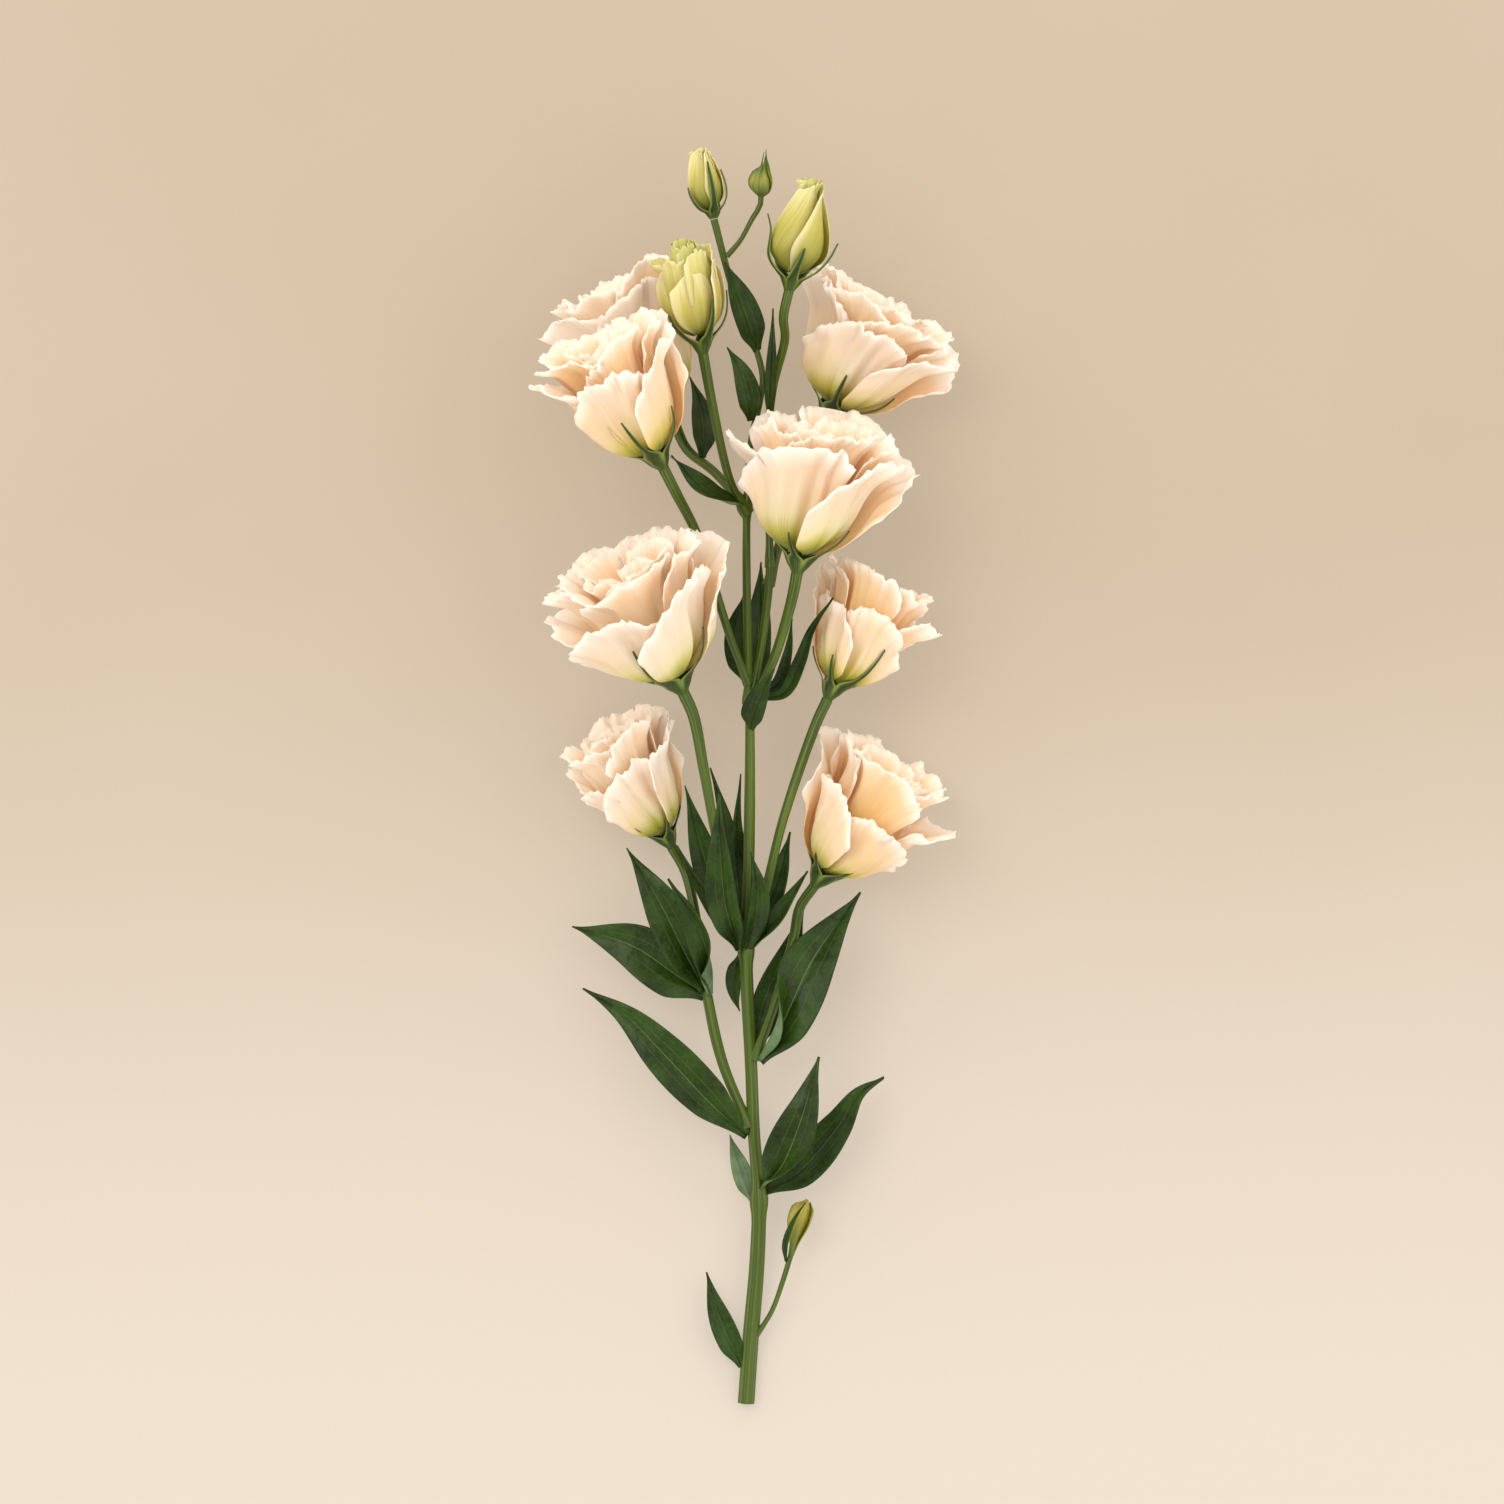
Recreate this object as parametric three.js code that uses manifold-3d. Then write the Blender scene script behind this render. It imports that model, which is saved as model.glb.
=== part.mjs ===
// A cut stem of double lisianthus with eight open blooms, five buds and its leaves, lying on a surface.
// Millimetres. +Y runs from the cut end to the tips, +Z is up, and the surface that it lies on is z = 0.
import * as THREE from "three";
import { mergeVertices } from "three/addons/utils/BufferGeometryUtils.js";
import Module from "manifold-3d";

const wasm = await Module();
wasm.setup();

// Driving dimensions
const clearance = 0.35; // between pieces that touch on the real plant
const petalThickness = 0.7;
const leafThickness = 0.7;
const sepalThickness = 0.7;
const slack = 0.18; // faces smaller than this that a join or cut leaves behind are merged away
const restCentre = [-0.67, 210.82]; // centre of the outline, seen from above: it becomes the origin

const finishes = {
  petal: { color: 0xf6cfa4, roughness: 0.6 },
  bud: { color: 0xdcd886, roughness: 0.6 },
  calyx: { color: 0x6f8440, roughness: 0.55 },
  stem: { color: 0x5f7f3a, roughness: 0.55 },
  leaf: { color: 0x3f6b41, roughness: 0.5 },
};

// Blooms: base is the top of the stalk, lean tips the bloom to the right (+X), lift tips it up off the
// surface, wide and tall scale the bloom, and stalk is the route from the parent stem to just below the base.
const blooms = [
  {
    name: "top_left_back",
    base: [-26, 331, 19.05],
    lean: -24,
    lift: 8,
    spin: 20,
    wide: 0.88,
    tall: 1.04,
    stalk: [[-3.6, 304, 39.8], [-12.5, 314, 31]],
    radii: [1.4, 1.5, 1.7],
  },
  {
    name: "top_left",
    base: [-29.3, 314.3, 60],
    lean: -27,
    lift: 17,
    spin: 48,
    wide: 0.88,
    tall: 0.98,
    stalk: [[-1, 243, 35], [-7, 258, 37], [-18, 292, 44.5]],
    radii: [1.3, 1.4, 1.8],
  },
  {
    name: "top_right",
    base: [25, 331.5, 24.5],
    lean: 29,
    lift: 9,
    spin: 75,
    wide: 1.05,
    tall: 0.88,
    stalk: [[5.5, 276, 36], [12, 300, 30]],
    radii: [1.4, 1.5, 1.8],
  },
  {
    name: "centre",
    base: [15, 280, 51],
    lean: 11,
    lift: 11,
    spin: 5,
    wide: 1.0,
    tall: 1.0,
    stalk: [[1, 238, 35], [7.5, 252, 42]],
    radii: [1.5, 1.6, 1.9],
  },
  {
    name: "mid_left",
    base: [-23, 240.3, 50.5],
    lean: -24,
    lift: 19,
    spin: 30,
    wide: 1.12,
    tall: 0.98,
    stalk: [[-2, 157, 23], [-9.5, 180, 33], [-16, 214, 42]],
    radii: [1.4, 1.5, 2.0],
  },
  {
    name: "mid_right",
    base: [25.3, 238, 29],
    lean: 25,
    lift: -1,
    spin: 60,
    wide: 0.78,
    tall: 0.88,
    stalk: [[-1, 157, 23], [4, 172, 29], [10.5, 198, 34]],
    radii: [1.4, 1.5, 1.8],
  },
  {
    name: "low_left",
    base: [-27, 188.3, 14],
    lean: -29,
    lift: 12,
    spin: 12,
    wide: 0.76,
    tall: 0.9,
    stalk: [[-1, 94, 14], [-10, 116, 15.5], [-15, 138, 17], [-19.5, 168, 16.5]],
    radii: [1.5, 1.8, 1.5, 1.7],
  },
  {
    name: "low_right",
    base: [21, 175.3, 18.1],
    lean: 34,
    lift: 11,
    spin: 40,
    wide: 0.93,
    tall: 0.98,
    stalk: [[1, 117, 18], [9, 140, 22], [14, 158, 21]],
    radii: [1.5, 1.5, 1.7],
  },
];

// Layers of a bloom. profile is radius and height from the base to the rim, footSpread and spread are the
// angles that a petal covers to either side at its foot and its rim, rounding is how much shorter it is at its
// sides and square how broad its rim stays, spiral is how far one of its sides lies outside the next petal,
// and ruffle and waves shape the rim.
const bloomLayers = [
  {
    petals: 5,
    across: 4,
    along: 5,
    turn: 0,
    profile: [
      [2.2, 6.2], [5.4, 8], [9.6, 11.2], [13.6, 15.6], [16.6, 21.6], [18.5, 28.8], [21, 37],
      [28, 45.8],
    ],
    footSpread: 27,
    spread: 50,
    rounding: 0.13,
    square: 3.5,
    spiral: 1.9,
    ruffle: 1.8,
    waves: 8,
  },
  {
    petals: 3,
    across: 4,
    along: 3,
    turn: 36,
    profile: [[1.5, 6.8], [3.5, 11], [7, 18], [10.8, 26.5], [13.8, 35.5], [18, 44], [24.5, 51]],
    footSpread: 45,
    spread: 76,
    rounding: 0.11,
    square: 3,
    spiral: 1.5,
    ruffle: 1.8,
    waves: 8,
  },
  {
    petals: 2,
    across: 3,
    along: 2,
    turn: 10,
    profile: [[1, 7], [3, 14], [5, 24], [8, 36], [14, 48.5]],
    footSpread: 60,
    spread: 108,
    rounding: 0.1,
    square: 3,
    spiral: 1.5,
    ruffle: 1.1,
    waves: 7,
  },
];
const footLength = 0.25; // share of a petal over which its sides come apart
const spreadLength = 0.5; // and over which it reaches its full breadth
const waveStart = 0.6; // where the rim's waves begin
const waveRise = 0.6; // how much of a wave goes up rather than out
const receptacle = { radius: 3, bottom: 5.7, top: 7.6, sides: 5 };

// Calyx of a bloom: a funnel that carries on from the stalk, and sepals that lie along the outer petals.
const bloomCalyx = {
  funnel: [[0, 0], [1.75, 0], [3.4, 4], [4.2, 5.2], [0, 5.2]],
  sides: 5,
  sepals: 5,
  sepal: [[3.1, 4.1], [7.6, 6.6], [12.2, 10.2], [16.2, 15.8]],
  halfWidth: 2,
  turn: 18,
};

// Buds: body is radius and height of the closed petals, furled into a spiral of folds.
const buds = [
  {
    name: "opening",
    base: [-16.3, 353, 51],
    lean: -10,
    lift: 9,
    spin: 0,
    stalk: [[-1.5, 300, 38.5], [-7, 310, 42], [-13, 335, 48]],
    radii: [1.3, 1.4, 1.7],
    body: [[0, 5.7], [2.6, 5.7], [5.6, 12], [7.2, 20], [6.6, 29], [4.4, 36], [2, 39], [0, 39.4]],
    folds: 5,
    depth: 0.06,
    twist: 0.5,
    outerPetals: {
      petals: 5,
      across: 3,
      along: 4,
      turn: 0,
      profile: [[2.2, 6.2], [5.8, 8.8], [8.7, 14], [9.8, 20.5], [9.5, 30]],
      footSpread: 27,
      spread: 44,
      rounding: 0.25,
      square: 2.5,
      spiral: 0.9,
      ruffle: 0,
      waves: 1,
    },
    calyx: {
      funnel: [[0, 0], [1.65, 0], [3.2, 4], [3.9, 5.2], [0, 5.2]],
      sides: 5,
      sepals: 5,
      sepal: [[3, 4.2], [8.2, 7], [11.4, 12.8], [12.3, 18.5]],
      halfWidth: 1.5,
      turn: 18,
    },
  },
  {
    name: "upper_right",
    base: [12.3, 373.7, 56],
    lean: 12,
    lift: 6,
    spin: 10,
    stalk: [[6, 282, 36.6], [5.5, 326, 34.5], [7, 342, 38.5], [11, 358, 48]],
    radii: [1.2, 1.2, 1.3, 1.4, 1.6],
    body: [
      [0, 5.7], [2.6, 5.7], [6.4, 8.6], [9, 13.5], [8.6, 19], [6.7, 25.5], [4.8, 31.5], [3.8, 36.5], [0, 35],
    ],
    folds: 5,
    depth: 0.07,
    twist: 0.9,
    calyx: {
      funnel: [[0, 0], [1.6, 0], [3.1, 4], [3.8, 5.2], [0, 5.2]],
      sides: 5,
      sepals: 5,
      sepal: [[2.9, 4.2], [8, 7], [11.3, 13], [11.6, 20]],
      halfWidth: 1.4,
      turn: 18,
    },
  },
  {
    name: "upper_left",
    base: [-12.7, 398.7, 37],
    lean: -13,
    lift: 4,
    spin: 25,
    radii: [1.2, 1.2],
    body: [[0, 3.2], [1.6, 3.2], [4.3, 6.5], [5.4, 10.5], [5.3, 14.5], [4.1, 19], [2.4, 23.3], [0, 22.6]],
    folds: 5,
    depth: 0.06,
    twist: 0.6,
    calyx: {
      funnel: [[0, 0], [1.25, 0], [2.1, 2.2], [2.4, 2.8], [0, 2.8]],
      sides: 5,
      sepals: 5,
      sepal: [[1.7, 2.2], [6.3, 5.2], [7.5, 11], [7.2, 17]],
      halfWidth: 1.1,
      turn: 18,
    },
  },
  {
    name: "tiny",
    base: [3, 406, 38],
    lean: 5,
    lift: 2,
    spin: 0,
    stalk: [[-8.4, 386, 37], [-3.9, 391.3, 37.4], [0, 398.4, 37.8]],
    straight: 3,
    radii: [0.6, 0.8, 0.9],
    body: [[0, 0], [1, 0], [3.1, 2.2], [3.3, 4], [2.3, 6.5], [1, 9], [0.6, 12.5], [0, 15.8]],
    folds: 5,
    depth: 0.08,
    twist: 0,
  },
  {
    name: "low_shoot",
    base: [13.1, 50.5, 9],
    lean: 17,
    lift: 0,
    spin: 0,
    stalk: [[0, 21, 4.2], [6.5, 31, 6.5]],
    radii: [0.8, 0.8, 0.9],
    body: [[0, 0], [0.9, 0], [1.3, 4], [2.3, 8.5], [3, 13], [2.4, 17], [0, 19.8]],
    folds: 4,
    depth: 0.1,
    twist: 0,
  },
];
const sepalTaper = 0.7; // how quickly a sepal narrows to its point
const sepalTip = 0.12; // half the width of that point
const budSides = 10;
const foldStart = 0.13; // keeps a fold's edge off the seam of the solid of revolution

// The main stem, its radii from the cut end to the top, and the second stem beside it.
const mainStem = {
  route: [
    [-2, 0, 2.75], [-0.3, 24, 4.3], [1.7, 48, 7.2], [2.3, 71, 10.3], [0.7, 91, 13.4], [-0.3, 115, 17],
    [-2, 153, 22.6], [-1, 188, 28], [-0.7, 228, 33], [-1, 241, 34.5], [-1.7, 271, 37.4], [-1.7, 301, 38.6],
    [-0.3, 324, 38.6], [2.3, 336, 38.4], [3.6, 345, 38], [1.7, 354, 37.6], [-4.7, 369.5, 37], [-9, 384, 36.8],
    [-11.3, 393, 36.9], [-12.7, 398.35, 37],
  ],
  radii: [2.7, 2.6, 2.4, 2.0, 2.0, 2.1, 1.9, 1.8, 1.5, 1.4, 1.3, 1.1, 1.0, 1.0, 1.2],
};
const secondStem = {
  route: [[-0.6, 236, 34], [3.3, 257, 36], [5.7, 276, 36.6], [6, 285, 37]],
  radii: [1.3, 1.3, 1.3],
};
const nodeSwellings = [
  { at: [2.2, 69, 10], radius: 3.2 },
  { at: [-2, 154, 22.8], radius: 3.0 },
  { at: [-0.8, 238, 34.2], radius: 2.4 },
  { at: [-1.7, 302, 38.6], radius: 2.0 },
];
const straightEnd = 9; // how far below a flower its stalk comes in line with it, or its own value of straight
const mainSides = 8;
const stalkSides = 5;
const stepLength = 20;

// Leaves: route runs along the midrib from the stem to the tip, face is the way the upper side looks,
// fold is how far each half is folded up about the midrib, and sway waves the margins.
const leaves = [
  {
    name: "low_left_broad",
    route: [[-1.6, 91, 14], [-13, 101, 16], [-30, 119, 18], [-43, 132, 15], [-57, 140.5, 10]],
    halfWidth: 8,
    face: [0.1, -0.1, 1],
    fold: 14,
    sway: 0.6,
  },
  {
    name: "branch_left_outer",
    route: [[-15.5, 138.5, 17], [-25, 145, 19], [-40, 155, 19], [-60.5, 161.5, 14]],
    halfWidth: 9.2,
    face: [0, 0.1, 1],
    fold: 12,
    sway: 0.7,
  },
  {
    name: "branch_left_inner",
    route: [[-16, 140, 19], [-22, 152, 26], [-31, 170, 30], [-42, 188, 26]],
    halfWidth: 8,
    face: [0.2, 0, 1],
    fold: 16,
    sway: 0.7,
  },
  {
    name: "branch_left_folded",
    route: [[-13.5, 139, 19], [-14, 150, 29], [-19, 164, 37], [-28, 178, 41]],
    halfWidth: 6.6,
    face: [-0.5, 0.2, 0.8],
    fold: 38,
    sway: 0.4,
  },
  {
    name: "whorl_centre_long",
    route: [[-4.5, 154, 25], [-9, 170, 41], [-10.5, 187, 46], [-11, 207, 44]],
    halfWidth: 6.8,
    face: [-0.4, 0, 1],
    fold: 32,
    sway: 0.4,
  },
  {
    name: "whorl_centre_short",
    route: [[-1.5, 154.5, 25.5], [1, 165, 33], [1.8, 174, 37], [-0.5, 187, 38]],
    halfWidth: 5,
    face: [0.6, 0, 1],
    fold: 30,
    sway: 0.3,
  },
  {
    name: "whorl_left_back",
    route: [[-5, 156, 21], [-11, 170, 19], [-17, 188, 19], [-22.5, 209, 24]],
    halfWidth: 5.8,
    face: [0.3, 0, 1],
    fold: 16,
    sway: 0.4,
  },
  {
    name: "whorl_left_strip",
    route: [[-5, 155, 23.5], [-12, 167, 26], [-20, 180, 29], [-25, 189, 33]],
    halfWidth: 3,
    face: [-0.6, 0, 0.8],
    fold: 30,
    sway: 0.2,
  },
  {
    name: "whorl_back_upper",
    route: [[-3, 156, 20], [-6.5, 178, 17], [-9, 197, 20], [-14, 215, 26]],
    halfWidth: 4,
    face: [0, 0, 1],
    fold: 20,
    sway: 0.3,
  },
  {
    name: "whorl_back_narrow",
    route: [[-1, 157, 20], [-3, 180, 22], [-5, 195, 27], [-3.8, 213, 30]],
    halfWidth: 2.7,
    face: [0.3, 0, 1],
    fold: 26,
    sway: 0.2,
  },
  {
    name: "whorl_right_upright",
    route: [[0.5, 156, 21], [5.5, 170, 22], [10, 182, 24], [12.8, 193.5, 27]],
    halfWidth: 4.8,
    face: [-0.2, 0, 1],
    fold: 22,
    sway: 0.3,
  },
  {
    name: "whorl_right_folded",
    route: [[1, 155, 23.5], [7, 162, 29], [13, 171, 33], [18.6, 180.5, 38]],
    halfWidth: 4.2,
    face: [-0.5, 0.5, 0.9],
    fold: 34,
    sway: 0.3,
  },
  {
    name: "whorl_down",
    route: [[-4, 152, 21], [-6, 144, 18], [-5.6, 138, 15], [-4.2, 133, 12]],
    halfWidth: 3,
    face: [-0.4, 0, 1],
    fold: 24,
    sway: 0.2,
  },
  {
    name: "right_broad",
    route: [[2.4, 117, 19], [10, 129, 24], [20, 150, 24], [36.5, 173, 17]],
    halfWidth: 11,
    face: [-0.1, 0.1, 1],
    fold: 22,
    sway: 0.8,
  },
  {
    name: "right_back",
    route: [[1.5, 121, 16], [6, 135, 14], [12, 150, 13], [17.5, 168, 14]],
    halfWidth: 6.5,
    face: [0.1, 0, 1],
    fold: 14,
    sway: 0.4,
  },
  {
    name: "low_right_upright",
    route: [[4, 74, 12], [10, 81, 21], [16.5, 97, 27], [22.5, 118, 25]],
    halfWidth: 8.2,
    face: [-0.3, 0.3, 1],
    fold: 16,
    sway: 0.5,
  },
  {
    name: "low_right_outer",
    route: [[4.2, 72, 9.7], [16, 79, 11], [29, 94, 13], [36, 105, 14], [44.5, 110.5, 11]],
    halfWidth: 7,
    face: [-0.2, 0.3, 1],
    fold: 18,
    sway: 0.7,
  },
  {
    name: "low_left_sheath",
    route: [[-0.2, 69, 8], [-3, 75, 7], [-5.5, 83, 6.5], [-7.5, 91, 7.5]],
    halfWidth: 4,
    face: [-1, -0.2, 0.4],
    fold: 30,
    sway: 0.1,
  },
  {
    name: "foot_left",
    route: [[-3.5, 12.5, 4], [-8, 22, 5.5], [-12, 32, 6], [-15.4, 44.5, 5]],
    halfWidth: 4.2,
    face: [0.1, 0, 1],
    fold: 14,
    sway: 0.3,
  },
  {
    name: "foot_shoot",
    route: [[11.4, 48.4, 9.4], [11.4, 55, 13.4], [13.8, 62, 15], [18, 68.5, 14]],
    halfWidth: 2.3,
    face: [-0.5, 0, 1],
    fold: 30,
    sway: 0.1,
  },
  {
    name: "upper_left_curled",
    route: [[-2, 303, 39.5], [-8, 303.5, 44], [-16, 308, 47], [-27, 319, 45]],
    halfWidth: 4.8,
    face: [0.2, 0.7, 0.7],
    fold: 22,
    sway: 0.6,
  },
  {
    name: "upper_back_left",
    route: [[-16.7, 319.2, 25.2], [-16.4, 329, 18.5], [-17.8, 338, 12], [-21, 347, 9]],
    halfWidth: 4.2,
    face: [0.3, 0, 1],
    fold: 14,
    sway: 0.2,
  },
  {
    name: "upper_grey",
    route: [[-0.5, 331, 39.5], [-1, 338, 42.5], [-3.5, 347, 44.5], [-8.3, 355.3, 43.5]],
    halfWidth: 4.2,
    face: [0.3, 0, 1],
    fold: 18,
    sway: 0.2,
  },
  {
    name: "upper_dark",
    route: [[1.6, 354.5, 38.2], [-0.5, 362, 42], [-4.5, 373, 43], [-9, 384, 41]],
    halfWidth: 5.3,
    face: [0.5, 0, 1],
    fold: 16,
    sway: 0.3,
  },
  {
    name: "upper_slim",
    route: [[5.8, 331, 37.4], [6, 342, 43.5], [6.6, 355, 48], [7, 368, 49.5]],
    halfWidth: 2,
    face: [0.2, 0, 1],
    fold: 24,
    sway: 0.1,
  },
  {
    name: "mid_back_left",
    route: [[-2, 244, 32], [-4.5, 252, 28], [-5.5, 262, 27], [-2.7, 273, 28]],
    halfWidth: 4.2,
    face: [-0.2, 0, 1],
    fold: 18,
    sway: 0.3,
  },
  {
    name: "mid_back_centre",
    route: [[1.5, 244, 31], [2, 256, 27], [2.4, 270, 26.5], [3, 284, 29]],
    halfWidth: 4.4,
    face: [0.2, 0, 1],
    fold: 18,
    sway: 0.3,
  },
  {
    name: "mid_front",
    route: [[-0.2, 228, 34.8], [0.5, 234, 39.5], [3, 240, 43], [7.4, 248, 45]],
    halfWidth: 4,
    face: [-0.3, -0.2, 1],
    fold: 18,
    sway: 0.3,
  },
  {
    name: "mid_right_long",
    route: [[1.5, 238, 33], [10.7, 240, 33], [16, 250, 35.5], [20, 261, 40], [27, 271.7, 45]],
    halfWidth: 2.5,
    face: [-0.4, 0.3, 1],
    fold: 22,
    sway: 0.3,
  },
  {
    name: "mid_right_slim",
    route: [[1.5, 240, 32], [8.5, 243, 28.5], [12, 253, 27.5], [13.5, 265, 29.5]],
    halfWidth: 2.2,
    face: [-0.4, 0, 1],
    fold: 24,
    sway: 0.1,
  },
];

const broadLeaf = 6; // half widths above this get the finer grid
const broadCells = [4, 5];
const slimCells = [2, 4];
const leafTip = 0.15; // half the width of a leaf's point

const toVectors = (points) => points.map((p) => new THREE.Vector3(...p));
const routeCurve = (points) => new THREE.CatmullRomCurve3(toVectors(points), false, "centripetal");
const splineCurve = (points) => new THREE.SplineCurve(points.map((p) => new THREE.Vector2(...p)));
const { degToRad: radians, lerp, smoothstep } = THREE.MathUtils;

// A value read from evenly spaced stations, t from 0 to 1.
function along(stations, t) {
  const place = t * (stations.length - 1);
  const low = Math.min(Math.floor(place), stations.length - 2);
  return lerp(stations[low], stations[low + 1], place - low);
}

// Joining and cutting
function solidOf(geometry) {
  const bare = geometry.clone();
  bare.deleteAttribute("normal");
  bare.deleteAttribute("uv");
  const merged = mergeVertices(bare, 1e-4);
  return new wasm.Manifold(
    new wasm.Mesh({
      numProp: 3,
      vertProperties: new Float32Array(merged.attributes.position.array),
      triVerts: new Uint32Array(merged.index.array),
    }),
  );
}

const joined = (solids) => solids.reduce((whole, next) => whole.add(next));

// The largest body: loose scraps are dropped and sealed hollows are filled.
function oneBody(solid) {
  const bodies = solid.simplify(slack).decompose();
  return bodies.reduce((most, next) => (next.volume() > most.volume() ? next : most));
}

function meshOf(name, solid, finish) {
  const made = oneBody(solid).getMesh();
  const geometry = new THREE.BufferGeometry();
  geometry.setAttribute("position", new THREE.BufferAttribute(made.vertProperties, made.numProp));
  geometry.setIndex(new THREE.BufferAttribute(made.triVerts, 1));
  const material = new THREE.MeshStandardMaterial({ ...finish, metalness: 0, flatShading: true });
  const mesh = new THREE.Mesh(geometry, material);
  mesh.name = name;
  return mesh;
}

// A thin solid: a plane of across by along cells is bent by surface(u, v), u from -1 to 1 across and v from
// 0 to 1 along, then doubled half the thickness to either side and closed round its rim.
function blade(across, alongCells, thickness, surface) {
  const sheet = new THREE.PlaneGeometry(2, 1, across, alongCells);
  const flat = sheet.attributes.position;
  const spot = new THREE.Vector3();
  for (let i = 0; i < flat.count; i++) {
    surface(flat.getX(i), flat.getY(i) + 0.5, spot);
    flat.setXYZ(i, spot.x, spot.y, spot.z);
  }
  sheet.computeVertexNormals();
  const faces = Array.from(sheet.index.array);
  const count = flat.count;
  const points = [];
  for (const side of [0.5, -0.5]) {
    for (let i = 0; i < count; i++) {
      const normal = new THREE.Vector3().fromBufferAttribute(sheet.attributes.normal, i);
      spot.fromBufferAttribute(flat, i).addScaledVector(normal, side * thickness);
      points.push(spot.x, spot.y, spot.z);
    }
  }
  const index = [...faces];
  for (let i = 0; i < faces.length; i += 3) {
    index.push(faces[i] + count, faces[i + 2] + count, faces[i + 1] + count);
  }
  const row = across + 1;
  const rim = [];
  for (let x = 0; x < across; x++) rim.push(x);
  for (let y = 0; y < alongCells; y++) rim.push(y * row + across);
  for (let x = across; x > 0; x--) rim.push(alongCells * row + x);
  for (let y = alongCells; y > 0; y--) rim.push(y * row);
  rim.forEach((a, i) => {
    const b = rim[(i + 1) % rim.length];
    index.push(a, b, b + count, a, b + count, a + count);
  });
  const geometry = new THREE.BufferGeometry();
  geometry.setAttribute("position", new THREE.Float32BufferAttribute(points, 3));
  geometry.setIndex(index);
  return solidOf(geometry);
}

// A tapered round bar: a cylinder bent along a route. extra makes it larger all over.
function bar(points, radii, sides, extra = 0) {
  const curve = routeCurve(points);
  const steps = Math.max(3, Math.round(curve.getLength() / stepLength));
  const frames = curve.computeFrenetFrames(steps);
  const geometry = new THREE.CylinderGeometry(1, 1, 1, sides, steps);
  const spots = geometry.attributes.position;
  for (let i = 0; i < spots.count; i++) {
    const t = spots.getY(i) + 0.5;
    const step = Math.round(t * steps);
    const radius = along(radii, t) + extra;
    const spot = curve
      .getPointAt(t)
      .addScaledVector(frames.tangents[step], extra * (2 * t - 1))
      .addScaledVector(frames.normals[step], radius * spots.getX(i))
      .addScaledVector(frames.binormals[step], -radius * spots.getZ(i));
    spots.setXYZ(i, spot.x, spot.y, spot.z);
  }
  return solidOf(geometry);
}

// A solid of revolution about +Z, from radius and height points that start and end on the axis.
function turned(profile, sides, reshape) {
  const points = profile.map((p) => new THREE.Vector2(...p));
  const geometry = new THREE.LatheGeometry(points, sides).rotateX(Math.PI / 2);
  if (reshape) {
    const spots = geometry.attributes.position;
    for (let i = 0; i < spots.count; i++) {
      const grow = reshape(Math.atan2(spots.getY(i), spots.getX(i)), spots.getZ(i));
      spots.setXY(i, spots.getX(i) * grow, spots.getY(i) * grow);
    }
  }
  return solidOf(geometry);
}

// The direction that a bloom or bud points, and the turn that brings +Z there.
function axisOf({ lean, lift }) {
  const flat = Math.cos(radians(lift));
  return new THREE.Vector3(
    Math.sin(radians(lean)) * flat,
    Math.cos(radians(lean)) * flat,
    Math.sin(radians(lift)),
  );
}

function stand(mesh, plan) {
  const upright = new THREE.Quaternion().setFromUnitVectors(new THREE.Vector3(0, 0, 1), axisOf(plan));
  const spun = new THREE.Quaternion().setFromAxisAngle(new THREE.Vector3(0, 0, 1), radians(plan.spin));
  mesh.quaternion.copy(upright).multiply(spun);
  mesh.position.set(...plan.base);
  return mesh;
}

// One petal of a layer, centred on the given angle about the bloom's axis.
function petal(layer, angle, wide, tall, phase) {
  const outline = splineCurve(layer.profile);
  return blade(layer.across, layer.along, petalThickness, (u, v, spot) => {
    const reach = v * (1 - layer.rounding * Math.abs(u) ** layer.square);
    const { x: radius, y: height } = outline.getPoint(reach);
    const spread = lerp(layer.footSpread, layer.spread, smoothstep(v, 0, spreadLength));
    const turn = angle - u * radians(spread);
    const overlap = layer.spiral * u * smoothstep(reach, 0, footLength);
    const wave = layer.ruffle * smoothstep(reach, waveStart, 1) * Math.sin(layer.waves * turn + phase);
    const out = wide * (radius + overlap + wave);
    spot.set(out * Math.cos(turn), out * Math.sin(turn), tall * height + waveRise * wave);
  });
}

function petalRing(layer, wide, tall, phase) {
  const ring = [];
  for (let i = 0; i < layer.petals; i++) {
    const angle = radians(layer.turn) + (i * 2 * Math.PI) / layer.petals;
    ring.push(petal(layer, angle, wide, tall, phase));
  }
  return ring;
}

function receptacleDisc(wide, tall) {
  const { radius, bottom, top, sides } = receptacle;
  const profile = [[0, bottom], [radius, bottom], [radius, top], [0, top]];
  return turned(profile.map(([out, height]) => [out * wide, height * tall]), sides);
}

function bloomSolid({ wide, tall, spin }) {
  const petals = bloomLayers.flatMap((layer) => petalRing(layer, wide, tall, radians(spin)));
  return joined([receptacleDisc(wide, tall), ...petals]);
}

function sepal(plan, angle, wide, tall) {
  const outline = splineCurve(plan.sepal);
  return blade(1, 2, sepalThickness, (u, v, spot) => {
    const { x: radius, y: height } = outline.getPoint(v);
    const halfWidth = plan.halfWidth * (1 - v) ** sepalTaper + sepalTip;
    const turn = angle - (u * halfWidth) / radius;
    spot.set(wide * radius * Math.cos(turn), wide * radius * Math.sin(turn), tall * height);
  });
}

function calyxSolid(plan, wide = 1, tall = 1) {
  const funnel = turned(plan.funnel.map(([radius, height]) => [radius * wide, height * tall]), plan.sides);
  const sepals = [];
  for (let i = 0; i < plan.sepals; i++) {
    sepals.push(sepal(plan, radians(plan.turn) + (i * 2 * Math.PI) / plan.sepals, wide, tall));
  }
  return joined([funnel, ...sepals]);
}

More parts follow.
